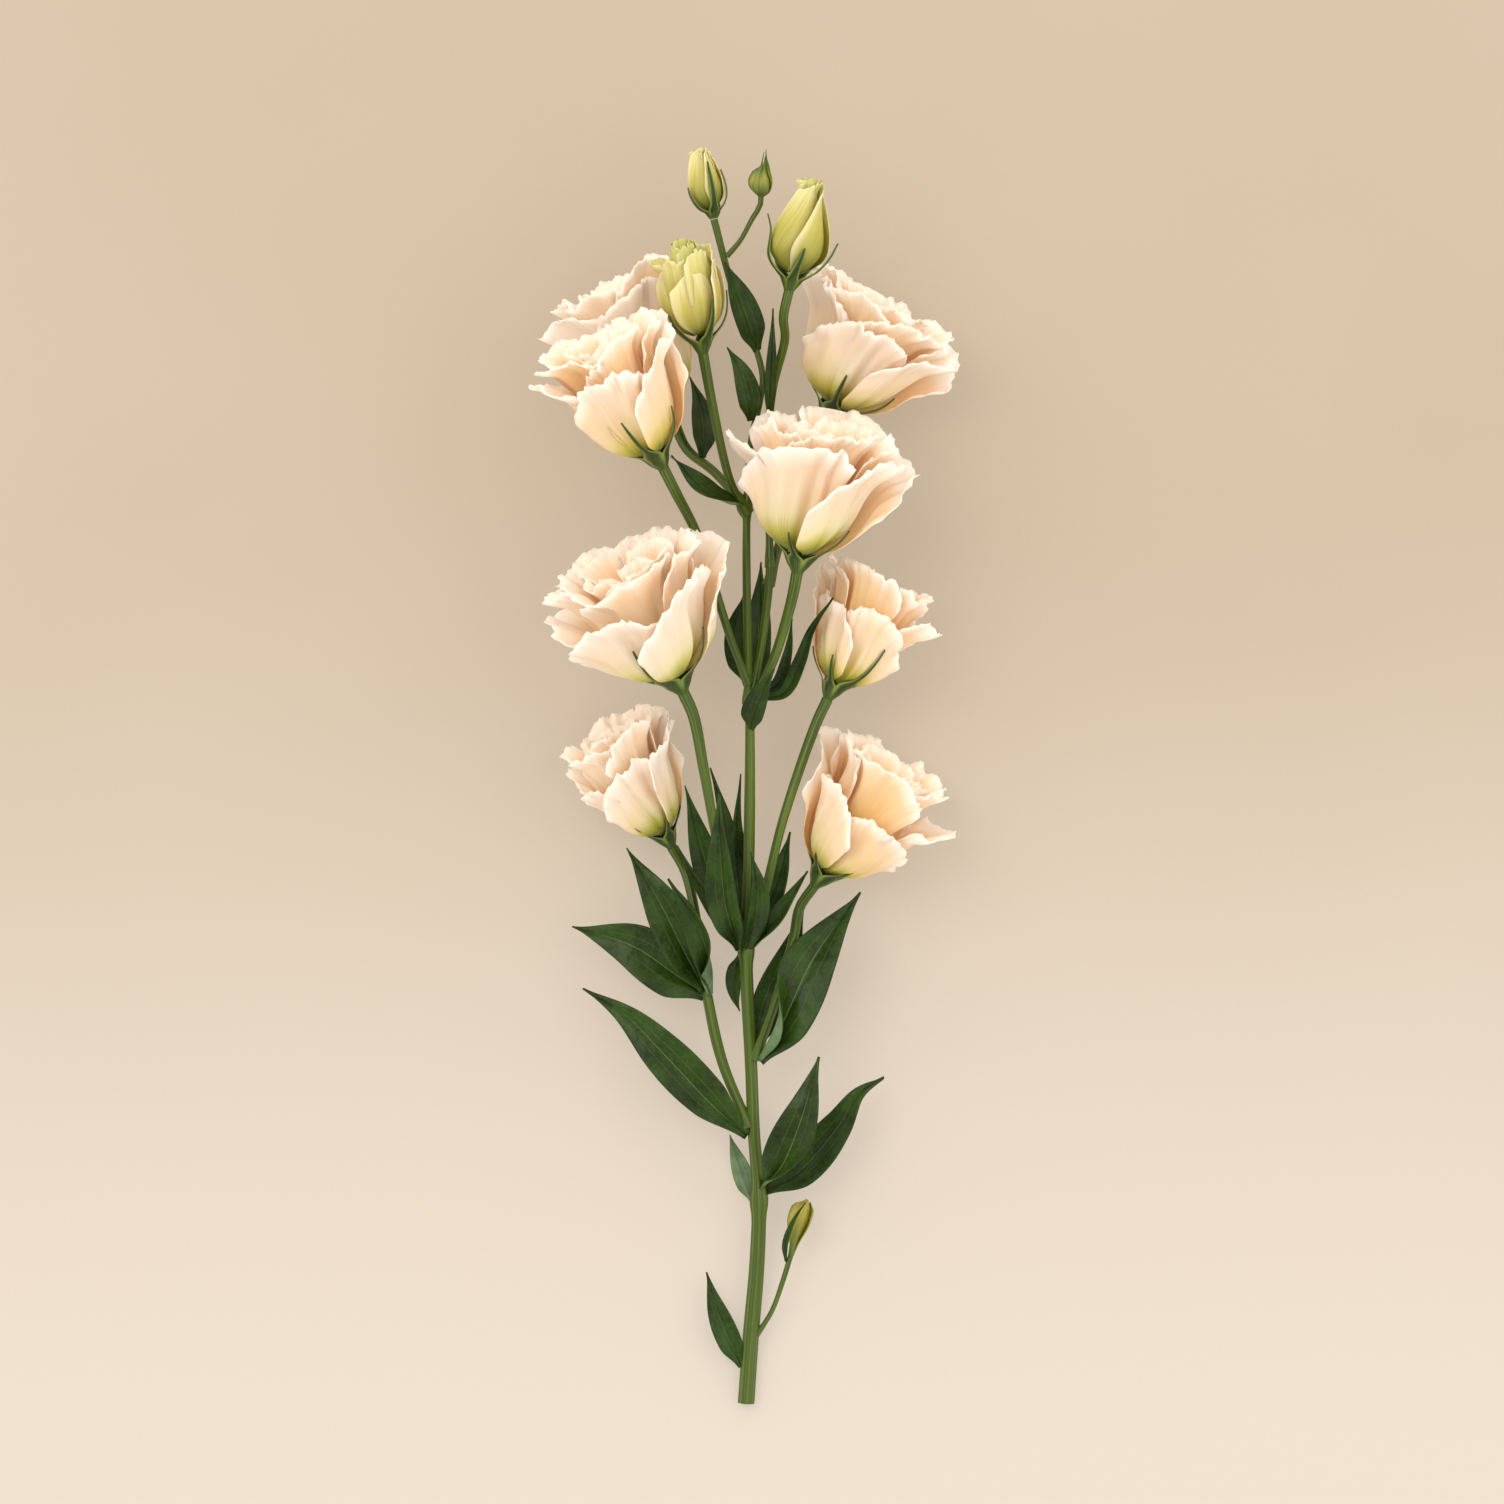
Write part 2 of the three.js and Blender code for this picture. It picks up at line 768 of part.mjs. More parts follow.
// Closed petals: each fold rises slowly round the bud and drops to the next, as furled petals do.
function budSolid(plan) {
  const top = plan.body.at(-1)[1];
  const furled = turned(plan.body, budSides, (angle, height) => {
    const round = (plan.folds * angle) / (2 * Math.PI) + (plan.twist * plan.folds * height) / top + foldStart;
    return 1 + plan.depth * (2 * (round - Math.floor(round)) - 1);
  });
  return plan.outerPetals ? joined([furled, ...petalRing(plan.outerPetals, 1, 1, 0)]) : furled;
}

// Stalks end just short of the calyx, in line with the flower.
function stalkRoute(plan) {
  const axis = axisOf(plan);
  const base = new THREE.Vector3(...plan.base);
  const below = base.clone().addScaledVector(axis, -(plan.straight ?? straightEnd));
  const end = base.addScaledVector(axis, -clearance);
  return [...plan.stalk, below.toArray(), end.toArray()];
}

function stemSolid(extra = 0) {
  const flowers = [...blooms, ...buds].filter((plan) => plan.stalk);
  return joined([
    bar(mainStem.route, mainStem.radii, mainSides, extra),
    bar(secondStem.route, secondStem.radii, stalkSides, extra),
    ...flowers.map((plan) => bar(stalkRoute(plan), plan.radii, stalkSides, extra)),
    ...nodeSwellings.map(({ at, radius }) =>
      solidOf(new THREE.SphereGeometry(radius + extra, 6, 3).rotateX(Math.PI / 2).translate(...at)),
    ),
  ]);
}

// Half a leaf's width as a share of its widest, v from 0 at the foot to 1 at the point: widest below the
// middle, and pinched where it clasps the stem.
function leafOutline(v) {
  const body = Math.sin(Math.PI * (0.12 + 0.88 * v) ** 0.75) ** 0.85;
  const pinch = 0.45 + 0.55 * smoothstep(v, 0, 0.22);
  return Math.max(body, 0) * pinch;
}

// A leaf without a stalk, folded about its midrib. extra makes it larger all over, as the room that it needs.
function leafSolid(plan, extra = 0) {
  const midrib = routeCurve(plan.route);
  const face = new THREE.Vector3(...plan.face);
  const fold = radians(plan.fold);
  const cells = plan.halfWidth > broadLeaf ? broadCells : slimCells;
  return blade(...cells, leafThickness + 2 * extra, (u, v, spot) => {
    const ahead = midrib.getTangentAt(v);
    const side = ahead.clone().cross(face).normalize();
    const up = side.clone().cross(ahead).normalize();
    const reach = (plan.halfWidth + extra) * leafOutline(v) + leafTip;
    const wave = plan.sway * Math.abs(u) * Math.sin(Math.PI * (3 * v + 0.5 * u));
    spot
      .copy(midrib.getPointAt(v))
      .addScaledVector(ahead, extra * (2 * v - 1))
      .addScaledVector(side, u * reach * Math.cos(fold))
      .addScaledVector(up, Math.abs(u) * reach * Math.sin(fold) + wave);
  });
}

const flower = new THREE.Group();
const stemRoom = stemSolid(clearance);
flower.add(meshOf("stem", stemSolid(), finishes.stem));

for (const plan of blooms) {
  const cup = calyxSolid(bloomCalyx, plan.wide, plan.tall);
  flower.add(stand(meshOf("bloom_" + plan.name, bloomSolid(plan), finishes.petal), plan));
  flower.add(stand(meshOf("calyx_" + plan.name, cup, finishes.calyx), plan));
}

for (const plan of buds) {
  flower.add(stand(meshOf("bud_" + plan.name, budSolid(plan), finishes.bud), plan));
  if (plan.calyx) {
    flower.add(stand(meshOf("calyx_bud_" + plan.name, calyxSolid(plan.calyx), finishes.calyx), plan));
  }
}

// Each leaf keeps clear of the stem and of the leaves before it.
const leafRooms = [];
for (const plan of leaves) {
  const kept = [stemRoom, ...leafRooms].reduce((leaf, room) => leaf.subtract(room), leafSolid(plan));
  leafRooms.push(leafSolid(plan, clearance));
  flower.add(meshOf("leaf_" + plan.name, kept, finishes.leaf));
}

flower.position.set(-restCentre[0], -restCentre[1], 0);

export default flower;
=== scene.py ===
# A cut stem of double lisianthus laid on a pale surface, with the camera looking straight down on it.
# Plans are in millimetres: X to the right, Y from the cut end to the tips, Z up off the surface.
import math
import random

import bpy
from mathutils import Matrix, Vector, noise


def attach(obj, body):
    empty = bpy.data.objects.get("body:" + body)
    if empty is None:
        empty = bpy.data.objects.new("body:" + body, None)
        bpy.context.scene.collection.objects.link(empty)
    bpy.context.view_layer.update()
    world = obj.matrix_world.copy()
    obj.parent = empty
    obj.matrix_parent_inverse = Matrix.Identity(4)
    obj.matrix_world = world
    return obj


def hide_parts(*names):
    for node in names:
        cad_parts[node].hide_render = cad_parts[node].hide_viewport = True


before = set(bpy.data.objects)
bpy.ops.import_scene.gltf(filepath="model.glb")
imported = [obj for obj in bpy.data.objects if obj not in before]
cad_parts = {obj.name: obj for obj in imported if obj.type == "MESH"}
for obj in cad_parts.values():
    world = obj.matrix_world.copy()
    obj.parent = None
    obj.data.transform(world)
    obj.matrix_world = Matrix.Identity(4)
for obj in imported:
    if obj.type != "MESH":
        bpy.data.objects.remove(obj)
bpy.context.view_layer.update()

mm = 0.001
restCentre = Vector((-0.67, 210.82, 0))  # the plans' point that lies at the frame's origin
upAxis = Vector((0, 0, 1))


def place(point):
    return (Vector(point) - restCentre) * mm


# Small curve and number helpers
def mix(low, high, share):
    return low + (high - low) * share


def ease(value, start, end):
    share = min(max((value - start) / (end - start), 0), 1)
    return share * share * (3 - 2 * share)


def readStations(stations, share):  # a value between evenly spaced stations
    spot = share * (len(stations) - 1)
    low = min(int(spot), len(stations) - 2)
    return mix(stations[low], stations[low + 1], spot - low)


def readOutline(points, share):  # radius and height on an even spline through the points
    spot = min(max(share, 0), 1) * (len(points) - 1)
    low = min(int(spot), len(points) - 2)
    t = spot - low
    before = points[max(low - 1, 0)]
    after = points[min(low + 2, len(points) - 1)]
    found = []
    for k in (0, 1):
        p, q = points[low][k], points[low + 1][k]
        leave, arrive = (q - before[k]) / 2, (after[k] - p) / 2
        bend = -3 * p + 3 * q - 2 * leave - arrive
        found.append(p + leave * t + bend * t * t + (2 * p - 2 * q + leave + arrive) * t ** 3)
    return found


def smoothRoute(points, steps, perSpan=24):  # evenly spaced points on a smooth curve through the given ones
    knots = [Vector(p) for p in points]
    knots = [2 * knots[0] - knots[1], *knots, 2 * knots[-1] - knots[-2]]
    dense = []
    for i in range(1, len(knots) - 2):
        a, b, c, d = knots[i - 1 : i + 3]
        ab, bc, cd = (math.sqrt((q - p).length) for p, q in ((a, b), (b, c), (c, d)))
        leave = ((b - a) / ab - (c - a) / (ab + bc) + (c - b) / bc) * bc
        arrive = ((c - b) / bc - (d - b) / (bc + cd) + (d - c) / cd) * bc
        for k in range(perSpan):
            t = k / perSpan
            bend = -3 * b + 3 * c - 2 * leave - arrive
            dense.append(b + leave * t + bend * t * t + (2 * b - 2 * c + leave + arrive) * t ** 3)
    dense.append(knots[-2])
    lengths = [0]
    for p, q in zip(dense, dense[1:]):
        lengths.append(lengths[-1] + (q - p).length)
    spots, j = [], 0
    for i in range(steps + 1):
        wanted = lengths[-1] * i / steps
        while j < len(dense) - 2 and lengths[j + 1] < wanted:
            j += 1
        spots.append(dense[j].lerp(dense[j + 1], (wanted - lengths[j]) / (lengths[j + 1] - lengths[j])))
    return spots


def headings(spots):
    ends = zip([spots[0], *spots[:-1]], [*spots[1:], spots[-1]])
    return [(q - p).normalized() for p, q in ends]


# Modelling helpers
def pickNothing():
    if bpy.context.object and bpy.context.object.mode != "OBJECT":
        bpy.ops.object.mode_set(mode="OBJECT")
    bpy.ops.object.select_all(action="DESELECT")


def pickOnly(piece):
    pickNothing()
    piece.select_set(True)
    bpy.context.view_layer.objects.active = piece


def finishSteps(piece, *steps):  # adds each modifier with its values and applies it
    pickOnly(piece)
    for kind, values in steps:
        modifier = piece.modifiers.new(kind.title(), kind)
        for key, value in values.items():
            setattr(modifier, key, value)
        bpy.ops.object.modifier_apply(modifier=modifier.name)


def keepOffFloor(point, soft=2.5, lowest=0.25):  # what would sink into the surface is pressed flat on it
    if point.z < soft:
        point.z = lowest + (soft - lowest) * math.exp((point.z - soft) / (soft - lowest))
    return point


def bentSheet(across, lengthwise, surface, toneOf=None):
    # A grid shaped by surface(u, v): u runs from -1 to 1 across and v from 0 to 1 along.
    pickNothing()
    bpy.ops.mesh.primitive_grid_add(x_subdivisions=across, y_subdivisions=lengthwise, size=2)
    sheet = bpy.context.object
    for vertex in sheet.data.vertices:
        vertex.co = surface(vertex.co.x, (vertex.co.y + 1) / 2)
    if toneOf:
        tones = sheet.data.color_attributes.new("tones", "FLOAT_COLOR", "POINT")
        for spot in tones.data:
            spot.color = toneOf
    return sheet


def closedTube(around, lengthwise, surface):
    # The same grid rolled up: surface(turn, v), with its seam merged and its ends filled.
    tube = bentSheet(around, lengthwise, lambda u, v: surface(math.pi * u, v))
    bpy.ops.object.mode_set(mode="EDIT")
    bpy.ops.mesh.select_all(action="SELECT")
    bpy.ops.mesh.remove_doubles(threshold=1e-6)
    bpy.ops.mesh.fill_holes(sides=around)
    bpy.ops.mesh.normals_make_consistent(inside=False)
    bpy.ops.object.mode_set(mode="OBJECT")
    return tube


def joinAs(name, parts):
    pickNothing()
    for part in parts:
        part.select_set(True)
    bpy.context.view_layer.objects.active = parts[0]
    if len(parts) > 1:
        bpy.ops.object.join()
    whole = bpy.context.object
    whole.name = whole.data.name = name
    return whole


def thicken(piece, thickness, otherSide=0):
    finishSteps(
        piece,
        ("SOLIDIFY", {"thickness": thickness * mm, "offset": 0, "material_offset": otherSide}),
    )
    bpy.ops.object.shade_smooth()


def dress(piece, *finishes):
    piece.data.materials.clear()
    for finish in finishes:
        piece.data.materials.append(finish)


def settle(piece, slotName, *nodes):  # what the piece rides on and stands for; slotName is not used
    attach(piece, "root")
    if nodes:
        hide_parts(*nodes)


# Material helpers
def tone(code):
    parts = [int(code[i : i + 2], 16) / 255 for i in (0, 2, 4)]
    linear = [p / 12.92 if p <= 0.04045 else ((p + 0.055) / 1.055) ** 2.4 for p in parts]
    return (*linear, 1)


class Finish:
    # A principled material with short ways to add the nodes that this file uses.
    def __init__(self, name, **sockets):
        self.material = bpy.data.materials.new(name)
        self.material.use_nodes = True
        self.nodes = self.material.node_tree.nodes
        self.links = self.material.node_tree.links
        self.shader = self.nodes["Principled BSDF"]
        for socket, value in sockets.items():
            self.shader.inputs[socket.replace("_", " ")].default_value = value

    def feed(self, socket, value):
        if hasattr(value, "links"):
            self.links.new(value, socket)
        else:
            socket.default_value = value

    def number(self, operation, first, second=0.0):
        node = self.nodes.new("ShaderNodeMath")
        node.operation = operation
        for socket, value in zip(node.inputs, (first, second)):
            self.feed(socket, value)
        return node.outputs[0]

    def spread(self, value, low, high, start=0.0, end=1.0):
        node = self.nodes.new("ShaderNodeMapRange")
        node.interpolation_type = "SMOOTHSTEP"
        for socket, given in zip(node.inputs, (value, low, high, start, end)):
            self.feed(socket, given)
        return node.outputs[0]

    def blend(self, share, first, second, mode="MIX"):
        node = self.nodes.new("ShaderNodeMix")
        node.data_type = "RGBA"
        node.blend_type = mode
        for index, value in ((0, share), (6, first), (7, second)):
            self.feed(node.inputs[index], value)
        return node.outputs[2]

    def ramp(self, value, stops):
        node = self.nodes.new("ShaderNodeValToRGB")
        band = node.color_ramp
        while len(band.elements) < len(stops):
            band.elements.new(0.5)
        for element, (spot, code) in zip(band.elements, stops):
            element.position = spot
            element.color = tone(code)
        self.links.new(value, node.inputs[0])
        return node.outputs[0]

    def clouds(self, vector, scale, detail=2.0, roughness=0.5):
        node = self.nodes.new("ShaderNodeTexNoise")
        self.links.new(vector, node.inputs["Vector"])
        node.inputs["Scale"].default_value = scale
        node.inputs["Detail"].default_value = detail
        node.inputs["Roughness"].default_value = roughness
        return node.outputs["Fac"]

    def fibres(self, across, lengthwise, counts, chance=0.0, roughness=0.5):
        # Clouds drawn out along the piece, at another place for each chance.
        node = self.nodes.new("ShaderNodeCombineXYZ")
        for socket, value, count in zip(node.inputs, (across, lengthwise, chance), counts):
            self.links.new(self.number("MULTIPLY", value, count), socket)
        return self.clouds(node.outputs[0], 1.0, 3, roughness)

    def fromMiddle(self, across):
        return self.number("ABSOLUTE", self.number("SUBTRACT", across, 0.5))

    def splitXyz(self, vector):
        node = self.nodes.new("ShaderNodeSeparateXYZ")
        self.links.new(vector, node.inputs[0])
        return node.outputs

    def coordinates(self, kind):
        return self.nodes.new("ShaderNodeTexCoord").outputs[kind]

    def relief(self, height, distance, strength=1.0):
        node = self.nodes.new("ShaderNodeBump")
        node.inputs["Distance"].default_value = distance
        node.inputs["Strength"].default_value = strength
        self.links.new(height, node.inputs["Height"])
        self.links.new(node.outputs[0], self.shader.inputs["Normal"])

    def colour(self, value):
        self.links.new(value, self.shader.inputs["Base Color"])

    def tones(self):
        node = self.nodes.new("ShaderNodeVertexColor")
        node.layer_name = "tones"
        split = self.nodes.new("ShaderNodeSeparateColor")
        self.links.new(node.outputs[0], split.inputs[0])
        return split.outputs


# Camera and light
view = {
    "middle": (0, 220.33, 0),  # the point of the plans that the picture's centre shows
    "width": 501.3,  # what the frame takes in at the height of the blooms
    "level": 45,
    "lens": 200,
    "sensor": 36,
}


def addCamera():
    distance = view["width"] * view["lens"] / view["sensor"]
    middle = Vector(view["middle"]) + Vector((0, 0, view["level"] + distance))
    bpy.ops.object.camera_add(location=place(middle), rotation=(0, 0, 0))
    camera = bpy.context.object
    camera.data.lens = view["lens"]
    camera.data.sensor_width = view["sensor"]
    camera.data.clip_end = 20
    bpy.context.scene.camera = camera


lamps = {
    "key": {"at": (-0.85, 0.75, 1.9), "size": 1.5, "power": 20, "colour": (1.0, 0.955, 0.90)},
    "fill": {"at": (1.1, 0.1, 1.3), "size": 1.8, "power": 7.5, "colour": (1.0, 0.97, 0.95)},
    "edge": {"at": (0.3, 1.6, 0.9), "size": 0.9, "power": 3.5, "colour": (1.0, 0.97, 0.93)},
}
skyLight = {"colour": (1.0, 0.965, 0.925, 1), "horizon": 1.75, "overhead": 0.74}


def addLight():
    for name, lamp in lamps.items():
        bpy.ops.object.light_add(type="AREA", location=lamp["at"])
        light = bpy.context.object
        light.name = name
        light.data.shape = "DISK"
        light.data.size = lamp["size"]
        light.data.energy = lamp["power"]
        light.data.color = lamp["colour"]
        light.rotation_euler = (-Vector(lamp["at"])).to_track_quat("-Z", "Y").to_euler()
    world = bpy.data.worlds.new("softSky")
    world.use_nodes = True
    nodes, links = world.node_tree.nodes, world.node_tree.links
    sky = nodes["Background"]
    sky.inputs["Color"].default_value = skyLight["colour"]
    direction = nodes.new("ShaderNodeSeparateXYZ")
    strength = nodes.new("ShaderNodeMapRange")
    strength.inputs["To Min"].default_value = skyLight["horizon"]
    strength.inputs["To Max"].default_value = skyLight["overhead"]
    links.new(nodes.new("ShaderNodeTexCoord").outputs["Generated"], direction.inputs[0])
    links.new(direction.outputs["Z"], strength.inputs["Value"])
    links.new(strength.outputs[0], sky.inputs["Strength"])
    bpy.context.scene.world = world
    bpy.context.scene.view_settings.view_transform = "Standard"


# The surface glows a little and takes less from the lamps, so that shadows on it stay light.
paperLook = {"glow": 0.8, "dim": 0.51}


def addSurface():
    pickNothing()
    bpy.ops.mesh.primitive_plane_add(size=8)
    surface = bpy.context.object
    surface.name = "surface"
    paper = Finish("palePaper", Roughness=0.9, Specular_IOR_Level=0.2, Emission_Strength=paperLook["glow"])
    spots = paper.coordinates("Object")
    along = paper.splitXyz(spots)[1]
    paperMottleAndPaintedFalloff = paper.ramp(paper.clouds(spots, 3, 4), [(0.3, "AE9E89"), (0.7, "B4A591")])
    # painted light: the surface's colour grows lighter towards the cut end, as if more light falls there,
    # over a mottled paper tone
    paperMottleAndPaintedFalloff = paper.blend(paper.spread(along, 0.12, -0.24), paperMottleAndPaintedFalloff, tone("C6BBAD"))
    paper.links.new(paperMottleAndPaintedFalloff, paper.shader.inputs["Emission Color"])
    paper.colour(paper.blend(paperLook["dim"], paperMottleAndPaintedFalloff, tone("000000")))
    paper.relief(paper.clouds(spots, 300, 3), 0.0004, 0.3)
    dress(surface, paper.material)


# Flowers: base is the top of the stalk, lean tips the flower to the right, lift tips it up off the surface,
# and wide and tall scale it. sweep turns the petals about the flower as they rise, hand is which of a petal's
# sides lies outside (1 if not given), and peach is how warm they are. lengths and flares shape the outer
# petals one by one, from the one at spin onwards. stalk and radii are the stalk's route and thickness.
blooms = {
    "top_left_back": {
        "base": (-26, 331, 19.05),
        "lean": -24, "lift": 8, "spin": 20, "wide": 0.88, "tall": 1.04, "sweep": -0.2,
        "stalk": [(-3.6, 304, 39.8), (-12.5, 314, 31)],
        "radii": [1.4, 1.5, 1.7],
        "lengths": [1, 1, 0.96, 1, 1],
        "flares": [0, 0, 2, 2, 0],
        "peach": 0.25,
    },
    "top_left": {
        "base": (-29.3, 314.3, 60),
        "lean": -27, "lift": 17, "spin": 48, "wide": 0.88, "tall": 0.98, "sweep": 0.25,
        "stalk": [(-1, 243, 35), (-7, 258, 37), (-18, 292, 44.5)],
        "radii": [1.3, 1.4, 1.8],
        "lengths": [1, 0.95, 1, 0.93, 0.96],
        "flares": [0, 1, 2, 1, 1],
        "peach": 0.85,
    },
    "top_right": {
        "base": (25, 331.5, 24.5),
        "lean": 29, "lift": 9, "spin": 75, "wide": 1.05, "tall": 0.88, "sweep": 0.35,
        "stalk": [(5.5, 276, 36), (12, 300, 30)],
        "radii": [1.4, 1.5, 1.8],
        "lengths": [1, 1, 0.92, 0.95, 1],
        "flares": [1, 0, 0, 1, 4],
        "peach": 0.3,
    },
    "centre": {
        "base": (15, 280, 51),
        "lean": 11, "lift": 11, "spin": 5, "wide": 1.0, "tall": 1.0, "sweep": 0.4,
        "stalk": [(1, 238, 35), (7.5, 252, 42)],
        "radii": [1.5, 1.6, 1.9],
        "lengths": [0.97, 1, 0.96, 1, 0.96],
        "flares": [5, 0, 4, 1, 2],
        "peach": 0.35,
    },
    "mid_left": {
        "base": (-23, 240.3, 50.5),
        "lean": -24, "lift": 19, "spin": 30, "wide": 1.12, "tall": 0.98, "sweep": 0.15,
        "stalk": [(-2, 157, 23), (-9.5, 180, 33), (-16, 214, 42)],
        "radii": [1.4, 1.5, 2.0],
        "lengths": [0.96, 1, 0.92, 0.9, 0.93],
        "flares": [1, 0, 4, 2, 1],
        "peach": 0.15,
    },
    "mid_right": {
        "base": (25.3, 238, 29),
        "lean": 25, "lift": -1, "spin": 60, "wide": 0.78, "tall": 0.88, "sweep": -0.25, "hand": -1,
        "stalk": [(-1, 157, 23), (4, 172, 29), (10.5, 198, 34)],
        "radii": [1.4, 1.5, 1.8],
        "lengths": [0.9, 1, 0.84, 0.86, 0.95],
        "flares": [2, 0, 0, 1, 4],
        "peach": 0.95,
    },
    "low_left": {
        "base": (-27, 188.3, 14),
        "lean": -29, "lift": 12, "spin": 12, "wide": 0.76, "tall": 0.9, "sweep": -0.2,
        "stalk": [(-1, 94, 14), (-10, 116, 15.5), (-15, 138, 17), (-19.5, 168, 16.5)],
        "radii": [1.5, 1.8, 1.5, 1.7],
        "lengths": [0.95, 1, 0.95, 0.82, 0.88],
        "flares": [0, 1, 4, 1, 0],
        "peach": 0.3,
    },
    "low_right": {
        "base": (21, 175.3, 18.1),
        "lean": 34, "lift": 11, "spin": 40, "wide": 0.93, "tall": 0.98, "sweep": 0.25, "hand": -1,
        "stalk": [(1, 117, 18), (9, 140, 22), (14, 158, 21)],
        "radii": [1.5, 1.5, 1.7],
        "lengths": [0.9, 1, 0.85, 0.8, 0.96],
        "flares": [4, 1, 0, 0, 4],
        "peach": 1.1,
    },
}

# Layers of petals, from the outside in, close to the outline of the frame's solids. folds are the long soft
# ones, waves and frills run round the rim, lip turns the rim out, and ragged is how uneven its very edge is.
# depth is how far the colours are those of a petal's inside.
petalLayers = [
    {
        "petals": 5, "across": 40, "lengthwise": 28, "turn": 0,
        "outline": [
            (2.2, 6.2), (5.4, 8), (9.6, 11.2), (13.5, 15.8), (16.4, 22.2), (18.2, 30), (20.4, 39),
            (27.4, 48.8),
        ],
        "footSpread": 27, "spread": 50, "rounding": 0.12, "square": 4, "slant": 0.1, "spiral": 2.3,
        "waves": 8, "wave": 1.6, "frill": 0.9, "lip": 2.2, "ragged": 0.018, "folds": 2.6, "depth": 0.0,
    },
    {
        "petals": 5, "across": 54, "lengthwise": 24, "turn": 36,
        "outline": [(1.5, 6.8), (5, 10.5), (9, 17), (12, 25.5), (14.4, 35.5), (17.8, 45.5), (23.6, 53)],
        "footSpread": 27, "spread": 50, "rounding": 0.1, "square": 4, "slant": 0.05, "spiral": 2.1,
        "waves": 7, "wave": 1.6, "frill": 0.9, "lip": 1.5, "ragged": 0.024, "folds": 1.8, "depth": 0.45,
    },
    {
        "petals": 4, "across": 52, "lengthwise": 20, "turn": 12,
        "outline": [(1.3, 7), (3.4, 12.5), (6.2, 20.5), (8.4, 30), (10.4, 41), (15.2, 51.5)],
        "footSpread": 33, "spread": 62, "rounding": 0.1, "square": 4, "spiral": 1.5,
        "waves": 6, "wave": 1.3, "frill": 0.7, "ragged": 0.028, "folds": 1.2, "depth": 0.8,
    },
    {
        "petals": 3, "across": 38, "lengthwise": 16, "turn": 50,
        "outline": [(1.0, 7), (2.2, 13), (3.4, 21), (4.8, 31), (6.4, 40), (10, 48.5)],
        "footSpread": 42, "spread": 80, "rounding": 0.12, "square": 3, "spiral": 1.1,
        "waves": 5, "wave": 1.1, "frill": 0.6, "ragged": 0.035, "folds": 1.0, "depth": 1.0,
    },
]
petalThickness = 0.2
frillLength = 6  # of one small frill on a rim


def axisOf(plan):
    lean, lift = math.radians(plan["lean"]), math.radians(plan["lift"])
    return Vector((math.sin(lean) * math.cos(lift), math.cos(lean) * math.cos(lift), math.sin(lift)))


def standing(plan):  # moves a point from the flower's own frame to its place on the stem
    upright = upAxis.rotation_difference(axisOf(plan)).to_matrix()
    spin = math.radians(plan["spin"])
    base = Vector(plan["base"])

    def moved(radius, turn, height):
        local = Vector((radius * math.cos(turn + spin), radius * math.sin(turn + spin), height))
        return place(keepOffFloor(upright @ local + base))

    return moved


def petalSurface(layer, plan, angle, own):
    moved = standing(plan)
    wide, tall = plan.get("wide", 1), plan.get("tall", 1)
    phase = math.radians(plan["spin"]) + layer["turn"]
    outline = layer["outline"]
    hand = plan.get("hand", 1)
    twist = layer.get("twist", 0) + plan.get("sweep", 0)
    rim = outline[-1][0]
    seed = own["seed"]

    def chance(a, b, c=0.0):
        return noise.noise(Vector((a, b + seed, c)))

    def shared(a, b, c):  # alike for neighbours, so that their overlapping sides wave together
        return noise.noise(Vector((a, b + phase, c)))

    def surface(u, v):
        # How far along the petal this is: its rim is rounded, slanted and ragged.
        edge = 1.3 * chance(u * 2.2, 5.3) + 0.8 * chance(u * 6, 3.1) + chance(u * 19, 7.7)
        slant = layer.get("slant", 0) * max(hand * u + 0.3, 0) ** 2
        margin = 1 - layer["rounding"] * abs(u) ** layer["square"] - slant + layer["ragged"] * edge
        reach = v * own["length"] * margin
        # Where the outline is there, and which way is outward from it.
        radius, height = readOutline(outline, reach)
        nextRadius, nextHeight = readOutline(outline, reach + 0.02)
        run = math.hypot(nextRadius - radius, nextHeight - height) or 1
        outward = ((nextHeight - height) / run, -(nextRadius - radius) / run)
        spread = math.radians(mix(layer["footSpread"], layer["spread"], ease(v, 0, 0.5)))
        turn = angle - u * spread + twist * reach
        length = rim * turn
        # Broad waves that neighbours share, frills and creases near the rim, and long soft folds.
        swell = math.sin(layer["waves"] * turn + phase)
        lobes = 0.5 * swell + 2.2 * shared(length * 0.1, v * 1.2, 2) + 1.1 * shared(length * 0.22, v * 2, 6)
        broad = layer["wave"] * ease(v, 0.5, 1) * lobes
        pleat = math.sin(2 * math.pi * length / frillLength + 7 * chance(length * 0.12, 9))
        ripple = ease(v, 0.78, 1) * max(0, 0.35 + 1.8 * chance(length * 0.1, 1.7)) * pleat
        crumple = ease(v, 0.86, 1) * 1.3 * chance(length * 0.45, v * 2, 4)
        fine = layer["frill"] * (ripple + crumple)
        soft = 1.2 * chance(u * 1.7, v * 0.8) + 0.6 * chance(u * 3.6, v * 0.9, 5)
        aside = ease(abs(u), 0.5, 1)
        folds = layer["folds"] * ease(v, 0.12, 0.55) * soft * (1 - 0.7 * aside)
        curl = own["curl"] * ease(hand * u, 0.6, 1) * ease(v, 0.2, 0.8)
        push = broad + fine + folds + curl
        # The petal opens outwards, and one side lies over its neighbour.
        opened = own["flare"] * (1 - 0.4 * aside) * ease(v, 0.55, 1) ** 1.7
        opened += layer.get("lip", 0) * ease(v, 0.76, 1) ** 2
        radius += layer["spiral"] * hand * u * ease(reach, 0, 0.3) + push * outward[0] + opened
        height += push * outward[1] - 0.6 * max(opened, 0)
        return moved(wide * radius, turn, tall * height)

    return surface


